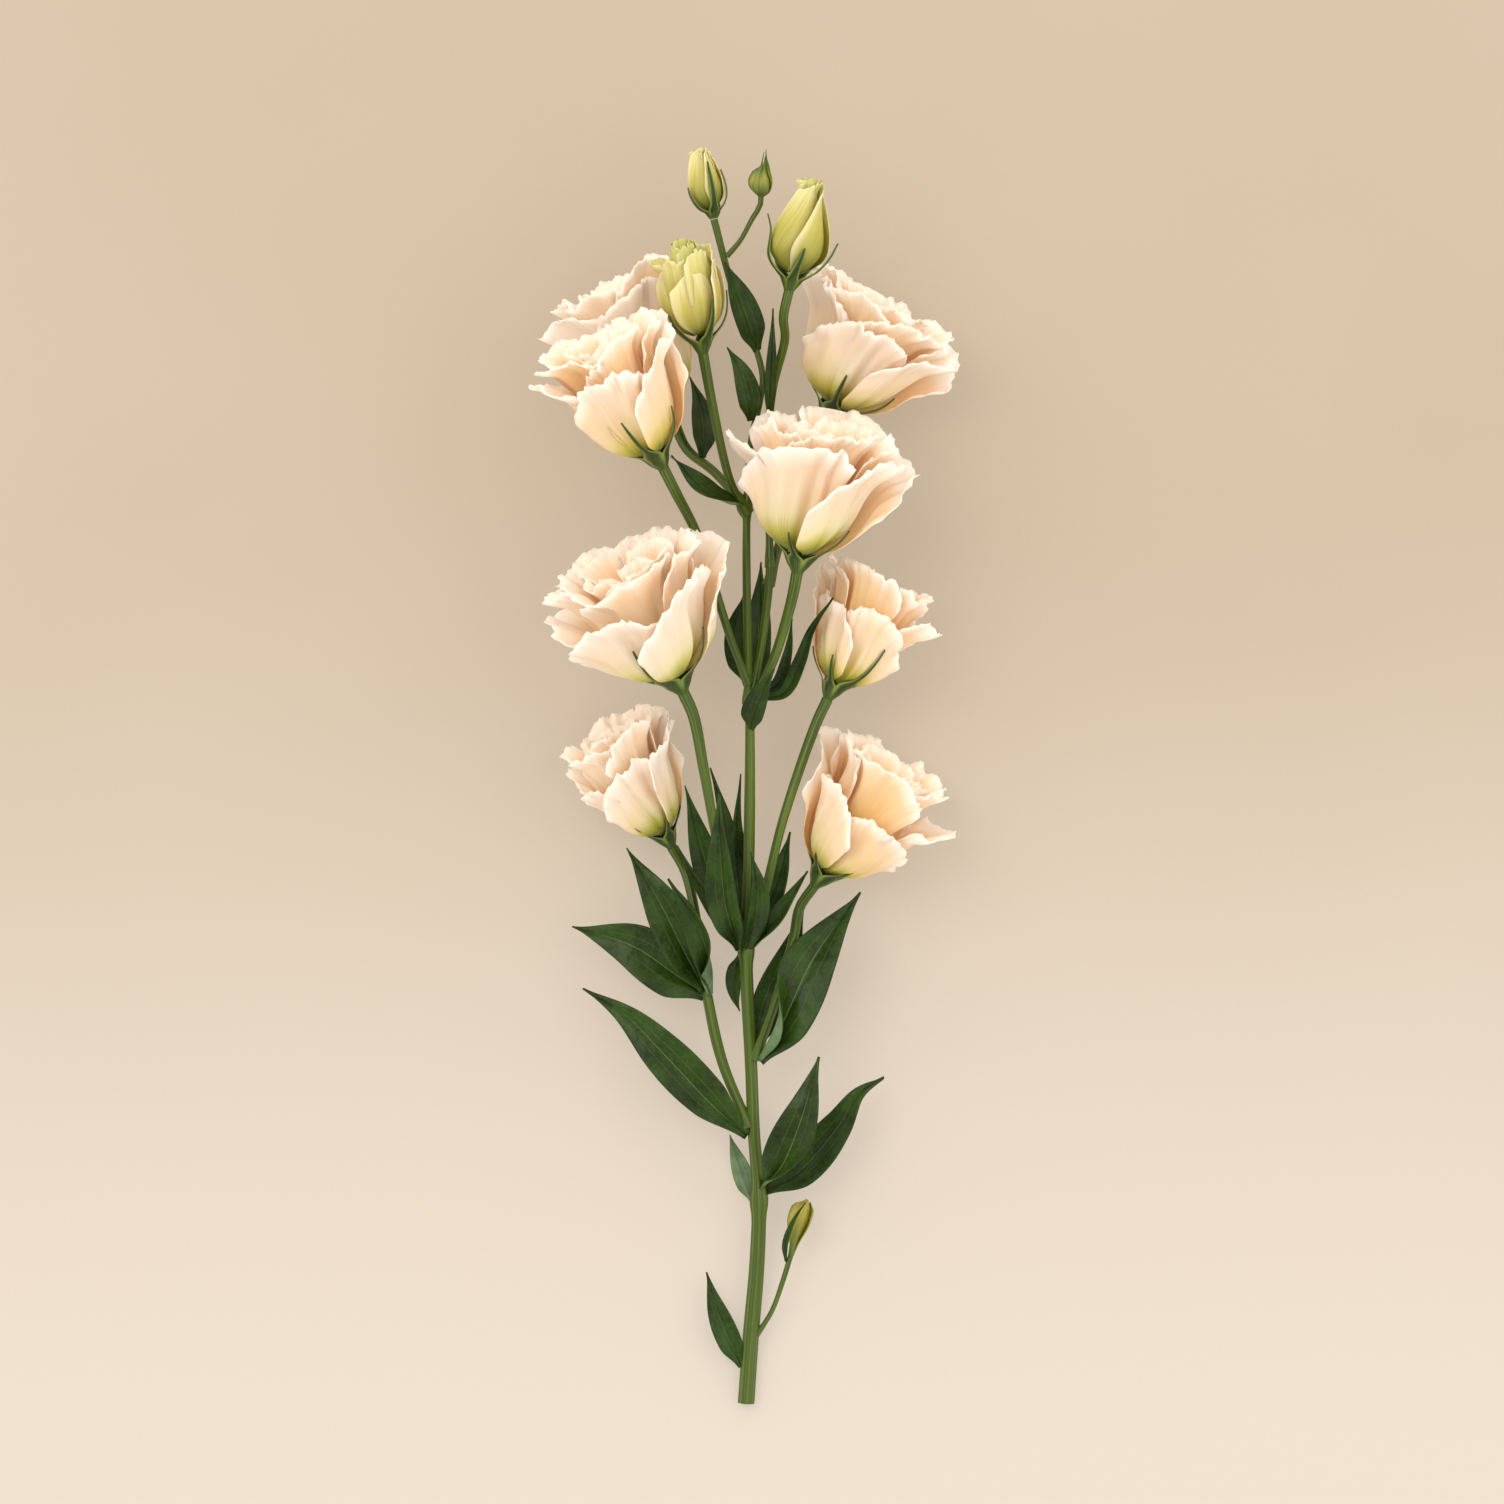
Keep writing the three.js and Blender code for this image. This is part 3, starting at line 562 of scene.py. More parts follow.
def petalRing(layer, plan, dice, lengths=None, flares=None):
    ring = []
    for i in range(layer["petals"]):
        angle = math.radians(layer["turn"]) + i * 2 * math.pi / layer["petals"]
        own = {
            "seed": dice.uniform(0, 40),
            "length": lengths[i] if lengths else dice.uniform(0.91, 1.02),
            "flare": flares[i] if flares else dice.uniform(-1.5, 1.6),
            "curl": dice.uniform(0.2, 1.8),
        }
        colour = (dice.random(), layer["depth"], plan.get("peach", 0.5), 1)
        surface = petalSurface(layer, plan, angle, own)
        ring.append(bentSheet(layer["across"], layer["lengthwise"], surface, colour))
    return ring


def addBloom(name, plan, dice, materials):
    petals = []
    for layer in petalLayers:
        given = (plan["lengths"], plan["flares"]) if layer is petalLayers[0] else ()
        petals += petalRing(layer, plan, dice, *given)
    bloom = joinAs("petals_" + name, petals)
    dress(bloom, materials["petalInside"], materials["petalOutside"])
    thicken(bloom, petalThickness, 1)
    settle(bloom, "petal", "bloom_" + name)


# Calyxes: five blades, joined into a cup at the foot, that run out into long thin sepals.
bloomCalyx = {
    "outline": [
        (1.75, 0), (2.6, 1.6), (3.8, 3.3), (4.8, 5.1), (6.4, 7.2), (10.2, 10.4), (14.2, 14.9),
        (17.2, 21), (19, 27),
    ],
    "halfWidth": 2.6,
    "turn": 18,
    "joined": 0.46,
    "spreadTips": 0.4,
}
sepalStyle = {
    "count": 5, "across": 12, "lengthwise": 32, "thickness": 0.35,
    "overlap": 1.06, "tip": 0.12, "keel": 0.5, "margin": 0.4,
}


def sepalSurface(calyx, plan, angle, own):
    moved = standing(plan)
    wide, tall = plan.get("wide", 1), plan.get("tall", 1)
    cup = math.pi / sepalStyle["count"] * sepalStyle["overlap"]

    def surface(u, v):
        radius, height = readOutline(calyx["outline"], v * own["length"])
        sepal = (calyx["halfWidth"] * (1 - v) ** 0.85 + sepalStyle["tip"]) / radius
        joined = calyx["joined"]
        half = mix(cup, min(sepal, cup), ease(v, joined, joined + 0.2))  # a cup below, apart above
        keel = sepalStyle["keel"] * (1 - abs(u)) ** 1.3 * ease(v, 0, 0.2) * (1 - 0.7 * v)
        margin = sepalStyle["margin"] * abs(u) ** 3 * ease(v, 0.3, 0.6)
        lifted = own["lift"] * ease(v, 0.6, 1)
        slide = own["sway"] * v * v
        out = radius + keel + margin + lifted
        return moved(wide * out, angle - u * half + slide, tall * (height - 0.5 * lifted))

    return surface


def addCalyx(name, node, calyx, plan, dice, materials):
    sepals = []
    for i in range(sepalStyle["count"]):
        own = {
            "length": dice.uniform(0.74, 1.0),
            "lift": calyx["spreadTips"] * dice.uniform(-0.1, 1.0),
            "sway": dice.uniform(-0.16, 0.16),
        }
        angle = math.radians(calyx["turn"]) + i * 2 * math.pi / sepalStyle["count"]
        surface = sepalSurface(calyx, plan, angle, own)
        sepals.append(bentSheet(sepalStyle["across"], sepalStyle["lengthwise"], surface))
    whole = joinAs("sepals_" + name, sepals)
    dress(whole, materials["calyx"])
    thicken(whole, sepalStyle["thickness"])
    settle(whole, "calyx", node)


# Stamens and pistil, seen only down into a bloom
heart = {
    "anthers": 6, "ring": 3.2, "foot": 7, "top": 24, "antherLength": 2.6, "pistilTop": 27,
    "around": 8, "lengthwise": 8,
}


def addHeart(name, plan, materials):
    moved = standing(plan)
    tall = plan["tall"]

    def tubeUp(radius, turn, low, high, thick):
        def surface(around, v):
            lean = mix(0.4, 1, v)
            x = radius * lean * math.cos(turn) + thick(v) * math.cos(around)
            y = radius * lean * math.sin(turn) + thick(v) * math.sin(around)
            return moved(math.hypot(x, y), math.atan2(y, x), tall * mix(low, high, v))

        return closedTube(heart["around"], heart["lengthwise"], surface)

    def pistil(v):
        return 0.9 + 1.1 * ease(v, 0.5, 0.6) * (1.05 - v)

    def filament(v):
        return 0.3

    def anther(v):
        return 0.2 + 0.7 * math.sin(math.pi * v) ** 0.6

    foot, top, ring = heart["foot"], heart["top"], heart["ring"]
    greens = [tubeUp(0.01, 0, foot, heart["pistilTop"], pistil)]
    yellows = []
    for i in range(heart["anthers"]):
        turn = i * 2 * math.pi / heart["anthers"]
        greens.append(tubeUp(ring, turn, foot, top, filament))
        yellows.append(tubeUp(ring, turn, top - 0.3, top + heart["antherLength"], anther))
    for part, kind in [(g, "calyx") for g in greens] + [(y, "anther") for y in yellows]:
        dress(part, materials[kind])
    whole = joinAs("stamens_" + name, greens + yellows)
    pickOnly(whole)
    bpy.ops.object.shade_smooth()
    settle(whole, "bud")


# Buds: petals furled round each other and closed at the top
def budLayer(**changes):
    layer = {
        "petals": 5, "across": 20, "lengthwise": 28, "turn": 0,
        "footSpread": 30, "spread": 62, "rounding": 0.1, "square": 2.5, "spiral": 0.6,
        "waves": 1, "wave": 0, "frill": 0.15, "ragged": 0.02, "folds": 0.25, "depth": 0.2,
        "twist": 0.0,
    }
    layer.update(changes)
    return layer


buds = {
    "opening": {
        "base": (-16.3, 353, 51),
        "lean": -10, "lift": 9, "spin": 0,
        "stalk": [(-1.5, 300, 38.5), (-7, 310, 42), (-13, 335, 48)],
        "radii": [1.3, 1.4, 1.7],
        "layers": [
            budLayer(
                across=28, footSpread=27, spread=46, rounding=0.22, spiral=1.2, frill=0.25, folds=0.7,
                depth=0.0,
                outline=[(2.2, 6.2), (5.6, 8.6), (8.4, 13.5), (9.5, 20), (9.3, 26), (9.6, 31)],
                lengths=[0.97, 1.0, 1.0, 0.92, 0.86],
            ),
            budLayer(
                across=28, turn=30, spread=46, rounding=0.18, spiral=0.9, frill=0.5, ragged=0.05,
                folds=0.5, depth=0.25,
                outline=[(2.2, 6.6), (5.2, 11), (7.8, 18), (8.3, 26), (7.6, 31), (8.4, 35.5)],
                lengths=[1.0, 0.96, 1.0, 0.9, 0.94],
                flares=[0, 0, 4, 1, 0],
            ),
            budLayer(
                turn=10, spread=56, frill=0.5, ragged=0.06, depth=0.7,
                outline=[(2, 7), (4, 12), (5.4, 20), (5.4, 28), (4.2, 34), (3.9, 38)],
            ),
            budLayer(
                petals=4, spread=66, spiral=0.5, frill=0.6, ragged=0.06, depth=1.0,
                outline=[(1.5, 8), (3, 16), (3.4, 26), (2.2, 34), (1.7, 39)],
            ),
        ],
        "calyx": {
            "outline": [
                (1.65, 0), (2.4, 1.8), (3.5, 3.8), (5.5, 5.8), (7.9, 8.4), (9.7, 11.5), (10.7, 15),
                (11.2, 19.5),
            ],
            "halfWidth": 2.4, "turn": 18, "joined": 0.3, "spreadTips": 0.5,
        },
    },
    "upper_right": {
        "base": (12.3, 373.7, 56),
        "lean": 12, "lift": 6, "spin": 10,
        "stalk": [(6, 282, 36.6), (5.5, 326, 34.5), (7, 342, 38.5), (11, 358, 48)],
        "radii": [1.2, 1.2, 1.3, 1.4, 1.6],
        "layers": [
            budLayer(
                across=26, petals=4, footSpread=40, spread=72, spiral=1.3, twist=1.9, rounding=0.12,
                frill=0.3, ragged=0.04, folds=0.6, depth=0.1,
                outline=[
                    (2.4, 5.8), (5.9, 8.6), (8.5, 13), (8.1, 18.5), (6.1, 25), (4.3, 30.5), (3.5, 34),
                    (4.2, 36.6),
                ],
            ),
            budLayer(
                turn=25, spread=60, twist=1.8, frill=0.8, ragged=0.08, spiral=0.6, depth=0.8,
                outline=[(2, 6.5), (4.6, 12), (5.4, 20), (3.8, 28), (2.6, 33.5), (3.1, 37.6)],
            ),
            budLayer(
                petals=3, turn=60, spread=66, twist=1.4, frill=0.7, ragged=0.08, spiral=0.4, depth=1.0,
                outline=[(1, 8), (2.4, 16), (2.6, 24), (1.6, 32), (1.5, 38)],
            ),
        ],
        "calyx": {
            "outline": [
                (1.6, 0), (2.4, 1.8), (3.5, 3.8), (5.6, 5.6), (8, 8), (9.6, 11), (10, 14.5), (10.6, 19),
                (13, 24),
            ],
            "halfWidth": 2.6, "turn": 36, "joined": 0.22, "spreadTips": 2.4,
        },
    },
    "upper_left": {
        "base": (-12.7, 398.7, 37),
        "lean": -13, "lift": 4, "spin": 25,
        "layers": [
            budLayer(
                across=20, spread=62, spiral=0.7, twist=1.1, frill=0.3, ragged=0.05, folds=0.35,
                depth=0.1,
                outline=[(1.5, 3.3), (4.0, 6), (5.1, 9.5), (4.7, 13.5), (3.5, 18), (2.3, 21.6), (2.7, 23.8)],
            ),
            budLayer(
                turn=25, across=16, spread=62, spiral=0.4, frill=0.5, ragged=0.08, depth=0.8,
                outline=[(1.2, 4), (2.7, 9), (3.0, 15), (1.8, 20), (1.8, 24.2)],
            ),
        ],
        "calyx": {
            "outline": [
                (1.25, 0), (1.7, 1.1), (2.4, 2.4), (4, 3.8), (5.4, 6), (6.1, 9), (6.1, 12.5), (5.7, 16),
                (5.8, 20.5),
            ],
            "halfWidth": 1.9, "turn": 54, "joined": 0.24, "spreadTips": 0.8,
        },
    },
    "tiny": {
        "finish": "youngBud",
        "base": (3, 406, 38),
        "lean": 5, "lift": 2, "spin": 0,
        "stalk": [(-8.4, 386, 37), (-3.9, 391.3, 37.4), (0, 398.4, 37.8)],
        "straight": 3,
        "radii": [0.6, 0.8, 0.9],
        "layers": [
            budLayer(
                across=14, lengthwise=24, footSpread=36, spread=40, rounding=0.3, spiral=0.25, frill=0,
                ragged=0, folds=0.1, depth=0.0,
                outline=[(0.9, 0), (2.7, 1.6), (3.2, 3.6), (2.5, 6), (1.3, 8.5), (0.8, 11.5), (0.25, 15.8)],
                lengths=[1.0, 0.82, 0.95, 0.85, 0.9],
            ),
        ],
    },
    "low_shoot": {
        "finish": "shoot",
        "base": (13.1, 50.5, 9),
        "lean": 17, "lift": 0, "spin": 0,
        "stalk": [(0, 21, 4.2), (6.5, 31, 6.5)],
        "radii": [0.8, 0.8, 0.9],
        "layers": [
            budLayer(
                petals=3, across=18, lengthwise=24, footSpread=60, spread=72, rounding=0.25,
                spiral=0.4, frill=0, ragged=0, depth=0.0,
                outline=[(0.9, 0), (1.3, 4), (2.3, 8.5), (2.9, 13), (2.3, 17), (0.6, 19.8)],
            ),
        ],
    },
}


def addBud(name, plan, dice, materials):
    petals = []
    for layer in plan["layers"]:
        still = [0] * layer["petals"]
        petals += petalRing(layer, plan, dice, layer.get("lengths"), layer.get("flares", still))
    bud = joinAs("furled_" + name, petals)
    dress(bud, materials[plan.get("finish", "bud")])
    thicken(bud, petalThickness)
    settle(bud, "bud", "bud_" + name)
    if "calyx" in plan:
        addCalyx("bud_" + name, "calyx_bud_" + name, plan["calyx"], plan, dice, materials)


# Stems: the same routes and radii as the frame's stem
mainStem = {
    "route": [
        (-2, 0, 2.75), (-0.3, 24, 4.3), (1.7, 48, 7.2), (2.3, 71, 10.3), (0.7, 91, 13.4),
        (-0.3, 115, 17), (-2, 153, 22.6), (-1, 188, 28), (-0.7, 228, 33), (-1, 241, 34.5),
        (-1.7, 271, 37.4), (-1.7, 301, 38.6), (-0.3, 324, 38.6), (2.3, 336, 38.4), (3.6, 345, 38),
        (1.7, 354, 37.6), (-4.7, 369.5, 37), (-9, 384, 36.8), (-11.3, 393, 36.9), (-12.7, 398.35, 37),
    ],
    "radii": [2.7, 2.6, 2.4, 2.0, 2.0, 2.1, 1.9, 1.8, 1.5, 1.4, 1.3, 1.1, 1.0, 1.0, 1.2],
}
secondStem = {
    "route": [(-0.6, 236, 34), (3.3, 257, 36), (5.7, 276, 36.6), (6, 285, 37)],
    "radii": [1.3, 1.3, 1.3],
}
nodeSwellings = [
    ((2.2, 69, 10), 3.1), ((-2, 154, 22.8), 2.9), ((-0.8, 238, 34.2), 2.3), ((-1.7, 302, 38.6), 1.9),
]
stemStyle = {
    "around": 18, "step": 2.6, "ridges": 4, "ridgeDepth": 0.05, "straight": 9, "gap": 0.1,
    "footLength": 9, "footFlare": 0.45,
}


def stemTube(route, radii, flareFoot):
    length = sum((Vector(b) - Vector(a)).length for a, b in zip(route, route[1:]))
    steps = max(6, round(length / stemStyle["step"]))
    spots = smoothRoute(route, steps)
    ahead = headings(spots)
    sides = [ahead[0].cross(upAxis).normalized()]
    for direction in ahead[1:]:
        sides.append((sides[-1] - direction * sides[-1].dot(direction)).normalized())

    def surface(turn, v):
        i = round(v * steps)
        radius = readStations(radii, v)
        for spot, swelling in nodeSwellings:
            near = (spots[i] - Vector(spot)).length
            radius += max(0, swelling - radius) * math.exp(-((near / (1.3 * swelling)) ** 2))
        if flareFoot:
            widening = 1 - ease(v * steps * stemStyle["step"], 0, stemStyle["footLength"])
            radius *= 1 + stemStyle["footFlare"] * widening
        radius *= 1 + stemStyle["ridgeDepth"] * math.cos(stemStyle["ridges"] * turn)
        off = sides[i] * math.cos(turn) + ahead[i].cross(sides[i]) * math.sin(turn)
        return place(keepOffFloor(spots[i] + off * radius, 0.9, 0.02))

    return closedTube(stemStyle["around"], steps, surface)


def stalkRoute(plan):
    axis = axisOf(plan)
    base = Vector(plan["base"])
    straight = plan.get("straight", stemStyle["straight"])
    return [*plan["stalk"], base - axis * straight, base + axis * stemStyle["gap"]]


def addStems(materials):
    tubes = [stemTube(mainStem["route"], mainStem["radii"], False)]
    tubes.append(stemTube(secondStem["route"], secondStem["radii"], True))
    for plan in [*blooms.values(), *buds.values()]:
        if "stalk" in plan:
            tubes.append(stemTube(stalkRoute(plan), plan["radii"], True))
    stems = joinAs("stems", tubes)
    dress(stems, materials["stem"])
    pickOnly(stems)
    bpy.ops.object.shade_smooth_by_angle(angle=math.radians(50))
    settle(stems, "stem", "stem")


# Leaves: route runs along the midrib, face is the way the upper side looks, fold is how far each half is
# folded up about the midrib, sway waves the margins, and over folds the two halves further near the foot.
leaves = {
    "low_left_broad": {
        "route": [(-1.6, 91, 14), (-13, 101, 16), (-30, 119, 18), (-43, 132, 15), (-57, 140.5, 10)],
        "halfWidth": 8, "face": (0.1, -0.1, 1), "fold": 14, "sway": 0.6, "over": (30, 0),
    },
    "branch_left_outer": {
        "route": [(-15.5, 138.5, 17), (-25, 145, 19), (-40, 155, 19), (-60.5, 161.5, 14)],
        "halfWidth": 9.2, "face": (0, 0.1, 1), "fold": 12, "sway": 0.7, "over": (0, 40),
    },
    "branch_left_inner": {
        "route": [(-16, 140, 19), (-22, 152, 26), (-31, 170, 30), (-42, 188, 26)],
        "halfWidth": 8, "face": (0.2, 0, 1), "fold": 16, "sway": 0.7, "over": (20, 60),
    },
    "branch_left_folded": {
        "route": [(-13.5, 139, 19), (-14, 150, 29), (-19, 164, 37), (-28, 178, 41)],
        "halfWidth": 6.6, "face": (-0.5, 0.2, 0.8), "fold": 38, "sway": 0.4, "over": (60, 70),
    },
    "whorl_centre_long": {
        "route": [(-4.5, 154, 25), (-9, 170, 41), (-10.5, 187, 46), (-11, 207, 44)],
        "halfWidth": 6.8, "face": (-0.4, 0, 1), "fold": 32, "sway": 0.4, "over": (40, 0),
    },
    "whorl_centre_short": {
        "route": [(-1.5, 154.5, 25.5), (1, 165, 33), (1.8, 174, 37), (-0.5, 187, 38)],
        "halfWidth": 5, "face": (0.6, 0, 1), "fold": 30, "sway": 0.3,
    },
    "whorl_left_back": {
        "route": [(-5, 156, 21), (-11, 170, 19), (-17, 188, 19), (-22.5, 209, 24)],
        "halfWidth": 5.8, "face": (0.3, 0, 1), "fold": 16, "sway": 0.4,
    },
    "whorl_left_strip": {
        "route": [(-5, 155, 23.5), (-12, 167, 26), (-20, 180, 29), (-25, 189, 33)],
        "halfWidth": 3, "face": (-0.6, 0, 0.8), "fold": 30, "sway": 0.2,
    },
    "whorl_back_upper": {
        "route": [(-3, 156, 20), (-6.5, 178, 17), (-9, 197, 20), (-14, 215, 26)],
        "halfWidth": 4, "face": (0, 0, 1), "fold": 20, "sway": 0.3,
    },
    "whorl_back_narrow": {
        "route": [(-1, 157, 20), (-3, 180, 22), (-5, 195, 27), (-3.8, 213, 30)],
        "halfWidth": 2.7, "face": (0.3, 0, 1), "fold": 26, "sway": 0.2,
    },
    "whorl_right_upright": {
        "route": [(0.5, 156, 21), (5.5, 170, 22), (10, 182, 24), (12.8, 193.5, 27)],
        "halfWidth": 4.8, "face": (-0.2, 0, 1), "fold": 22, "sway": 0.3,
    },
    "whorl_right_folded": {
        "route": [(1, 155, 23.5), (7, 162, 29), (13, 171, 33), (18.6, 180.5, 38)],
        "halfWidth": 4.2, "face": (-0.5, 0.5, 0.9), "fold": 34, "sway": 0.3, "over": (60, 20),
    },
    "whorl_down": {
        "route": [(-4, 152, 21), (-6, 144, 18), (-5.6, 138, 15), (-4.2, 133, 12)],
        "halfWidth": 3, "face": (-0.4, 0, 1), "fold": 24, "sway": 0.2,
    },
    "right_broad": {
        "route": [(2.4, 117, 19), (10, 129, 24), (20, 150, 24), (36.5, 173, 17)],
        "halfWidth": 11, "face": (-0.1, 0.1, 1), "fold": 22, "sway": 0.8, "over": (95, 10),
    },
    "right_back": {
        "route": [(1.5, 121, 16), (6, 135, 14), (12, 150, 13), (17.5, 168, 14)],
        "halfWidth": 6.5, "face": (0.1, 0, 1), "fold": 14, "sway": 0.4,
    },
    "low_right_upright": {
        "route": [(4, 74, 12), (10, 81, 21), (16.5, 97, 27), (22.5, 118, 25)],
        "halfWidth": 8.4, "face": (-0.3, 0.3, 1), "fold": 16, "sway": 0.5, "over": (30, 60),
    },
    "low_right_outer": {
        "route": [(4.2, 72, 9.7), (16, 79, 11), (29, 94, 13), (36, 105, 14), (44.5, 110.5, 11)],
        "halfWidth": 7, "face": (-0.2, 0.3, 1), "fold": 18, "sway": 0.7,
    },
    "low_left_sheath": {
        "route": [(-0.2, 69, 8), (-3, 75, 7), (-5.5, 83, 6.5), (-7.5, 91, 7.5)],
        "halfWidth": 4.2, "face": (0.5, 0.2, -1), "fold": 30, "sway": 0.1,
    },
    "foot_left": {
        "route": [(-3.5, 12.5, 4), (-8, 22, 5.5), (-12, 32, 6), (-15.4, 44.5, 5)],
        "halfWidth": 4.2, "face": (0.1, 0, 1), "fold": 14, "sway": 0.3,
    },
    "foot_shoot": {
        "route": [(11.4, 48.4, 9.4), (11.4, 55, 13.4), (13.8, 62, 15), (18, 68.5, 14)],
        "halfWidth": 1.1, "face": (-0.5, 0, 1), "fold": 30, "sway": 0.1,
    },
    "upper_left_curled": {
        "route": [(-2, 303, 39.5), (-8, 303.5, 44), (-16, 308, 47), (-27, 319, 45)],
        "halfWidth": 4.8, "face": (0.2, 0.7, 0.7), "fold": 22, "sway": 0.6, "over": (40, 0),
    },
    "upper_back_left": {
        "route": [(-16.7, 319.2, 25.2), (-16.4, 329, 18.5), (-17.8, 338, 12), (-21, 347, 9)],
        "halfWidth": 4.2, "face": (0.3, 0, 1), "fold": 14, "sway": 0.2,
    },
    "upper_grey": {
        "route": [(-0.5, 331, 39.5), (-1, 338, 42.5), (-3.5, 347, 44.5), (-8.3, 355.3, 43.5)],
        "halfWidth": 4.2, "face": (0.3, 0, 1), "fold": 18, "sway": 0.2,
    },
    "upper_dark": {
        "route": [(1.6, 354.5, 38.2), (-0.5, 362, 42), (-4.5, 373, 43), (-9, 384, 41)],
        "halfWidth": 5.3, "face": (0.5, 0, 1), "fold": 16, "sway": 0.3,
    },
    "upper_slim": {
        "route": [(5.8, 331, 37.4), (6, 342, 43.5), (6.6, 355, 48), (7, 368, 49.5)],
        "halfWidth": 2, "face": (0.2, 0, 1), "fold": 24, "sway": 0.1,
    },
    "mid_back_left": {
        "route": [(-2, 244, 32), (-4.5, 252, 28), (-5.5, 262, 27), (-2.7, 273, 28)],
        "halfWidth": 4.2, "face": (-0.2, 0, 1), "fold": 18, "sway": 0.3,
    },
    "mid_back_centre": {
        "route": [(1.5, 244, 31), (2, 256, 27), (2.4, 270, 26.5), (3, 284, 29)],
        "halfWidth": 4.4, "face": (0.2, 0, 1), "fold": 18, "sway": 0.3,
    },
    "mid_front": {
        "route": [(-0.2, 228, 34.8), (0.5, 234, 39.5), (3, 240, 43), (7.4, 248, 45)],
        "halfWidth": 4, "face": (-0.3, -0.2, 1), "fold": 18, "sway": 0.3,
    },
    "mid_right_long": {
        "route": [(1.5, 238, 33), (10.7, 240, 33), (16, 250, 35.5), (20, 261, 40), (27, 271.7, 45)],
        "halfWidth": 2.5, "face": (-0.4, 0.3, 1), "fold": 22, "sway": 0.3,
    },
    "mid_right_slim": {
        "route": [(1.5, 240, 32), (8.5, 243, 28.5), (12, 253, 27.5), (13.5, 265, 29.5)],
        "halfWidth": 2.2, "face": (-0.4, 0, 1), "fold": 24, "sway": 0.1,
    },
}
leafStyle = {"across": 18, "lengthwise": 44, "thickness": 0.45, "tip": 0.12, "channel": 0.35}


def leafOutline(v):
    body = math.sin(math.pi * (0.1 + 0.9 * v) ** 0.8)
    return max(body, 0) ** mix(0.8, 1.35, v) * (0.45 + 0.55 * ease(v, 0, 0.25))


def addLeaf(name, plan, materials):
    lengthwise = leafStyle["lengthwise"]
    spots = smoothRoute(plan["route"], lengthwise)
    ahead = headings(spots)
    fold = math.radians(plan["fold"])
    over = plan.get("over", (0, 0))

    def surface(u, v):
        i = round(v * lengthwise)
        side = ahead[i].cross(Vector(plan["face"])).normalized()
        up = side.cross(ahead[i]).normalized()
        reach = plan["halfWidth"] * leafOutline(v) + leafStyle["tip"]
        wave = plan["sway"] * abs(u) * math.sin(math.pi * (3 * v + 0.5 * u))
        channel = -leafStyle["channel"] * math.exp(-((u / 0.09) ** 2)) * (1 - v)
        bend = fold + math.radians(over[0 if u < 0 else 1]) * abs(u) ** 0.5 * (1 - ease(v, 0.1, 0.6))
        rise = abs(u) * reach * math.sin(bend) * (1 - 0.25 * abs(u)) + wave + channel
        return place(keepOffFloor(spots[i] + side * (u * reach * math.cos(bend)) + up * rise))

    leaf = joinAs("blade_" + name, [bentSheet(leafStyle["across"], lengthwise, surface)])
    dress(leaf, materials["leafUpper"], materials["leafUnder"])
    thicken(leaf, leafStyle["thickness"], 1)
    settle(leaf, "leaf", "leaf_" + name)


# Finishes
def petalFinish(name, outerStops, innerStops):
    skin = Finish(
        name,
        Roughness=0.6,
        Subsurface_Weight=0.6,
        Subsurface_Radius=(1.0, 0.9, 0.8),
        Subsurface_Scale=0.0012,
        Sheen_Weight=0.1,
        Sheen_Roughness=0.5,
        Specular_IOR_Level=0.25,
        # painted glow: a little of the petal's own colour is given off as light
        Emission_Strength=0.04,
    )
    across, lengthwise = skin.splitXyz(skin.coordinates("UV"))[:2]
    chance, depth, peach = skin.tones()
    veins = skin.fibres(across, lengthwise, (90, 1.6, 20), chance, 0.6)
    reach = skin.number("ADD", lengthwise, skin.spread(veins, 0.2, 0.8, 0.04, -0.04))
    outer = skin.ramp(reach, outerStops)
    inner = skin.ramp(reach, innerStops)
    blush = skin.clouds(skin.coordinates("Object"), 45, 2)
    # Inner petals and peach blooms take more of the warm band.
    share = skin.number("ADD", skin.number("MULTIPLY", depth, 0.6), skin.number("MULTIPLY", peach, 0.55))
    share = skin.number("ADD", share, skin.spread(blush, 0.35, 0.7, -0.2, 0.2))
    flesh = skin.blend(share, outer, inner)
    flesh = skin.blend(skin.spread(lengthwise, 0.86, 1.0, 0, 0.75), flesh, tone("F8EADA"))  # pale rim
    streaks = skin.spread(veins, 0.3, 0.7)
    flesh = skin.blend(skin.number("MULTIPLY", streaks, 0.07), flesh, tone("F2C694"), "MULTIPLY")
    skin.colour(flesh)
    skin.links.new(flesh, skin.shader.inputs["Emission Color"])  # painted glow: the petal's own colour is emitted, standing in for light that comes through the petal
    skin.relief(veins, 0.0004, 0.04)
    return skin.material


def budFinish(name, stops, core, edge):
    skin = Finish(
        name,
        Roughness=0.45,
        Subsurface_Weight=0.3,
        Subsurface_Radius=(0.9, 0.9, 0.5),
        Subsurface_Scale=0.0015,
        Specular_IOR_Level=0.4,
    )
    across, lengthwise = skin.splitXyz(skin.coordinates("UV"))[:2]
    chance, depth = skin.tones()[:2]
    veins = skin.fibres(across, lengthwise, (30, 1.3, 20), chance, 0.6)
    reach = skin.number("ADD", lengthwise, skin.spread(veins, 0.2, 0.8, 0.08, -0.08))
    flesh = skin.ramp(reach, stops)
    flesh = skin.blend(skin.number("MULTIPLY", depth, 0.7), flesh, tone(core))
    offCentre = skin.fromMiddle(across)
    flesh = skin.blend(skin.spread(offCentre, 0.36, 0.5, 0, 0.5), flesh, tone(edge))
    skin.colour(skin.blend(skin.spread(veins, 0.4, 0.75, 0, 0.22), flesh, tone(core)))
    skin.relief(veins, 0.0004, 0.25)
    return skin.material


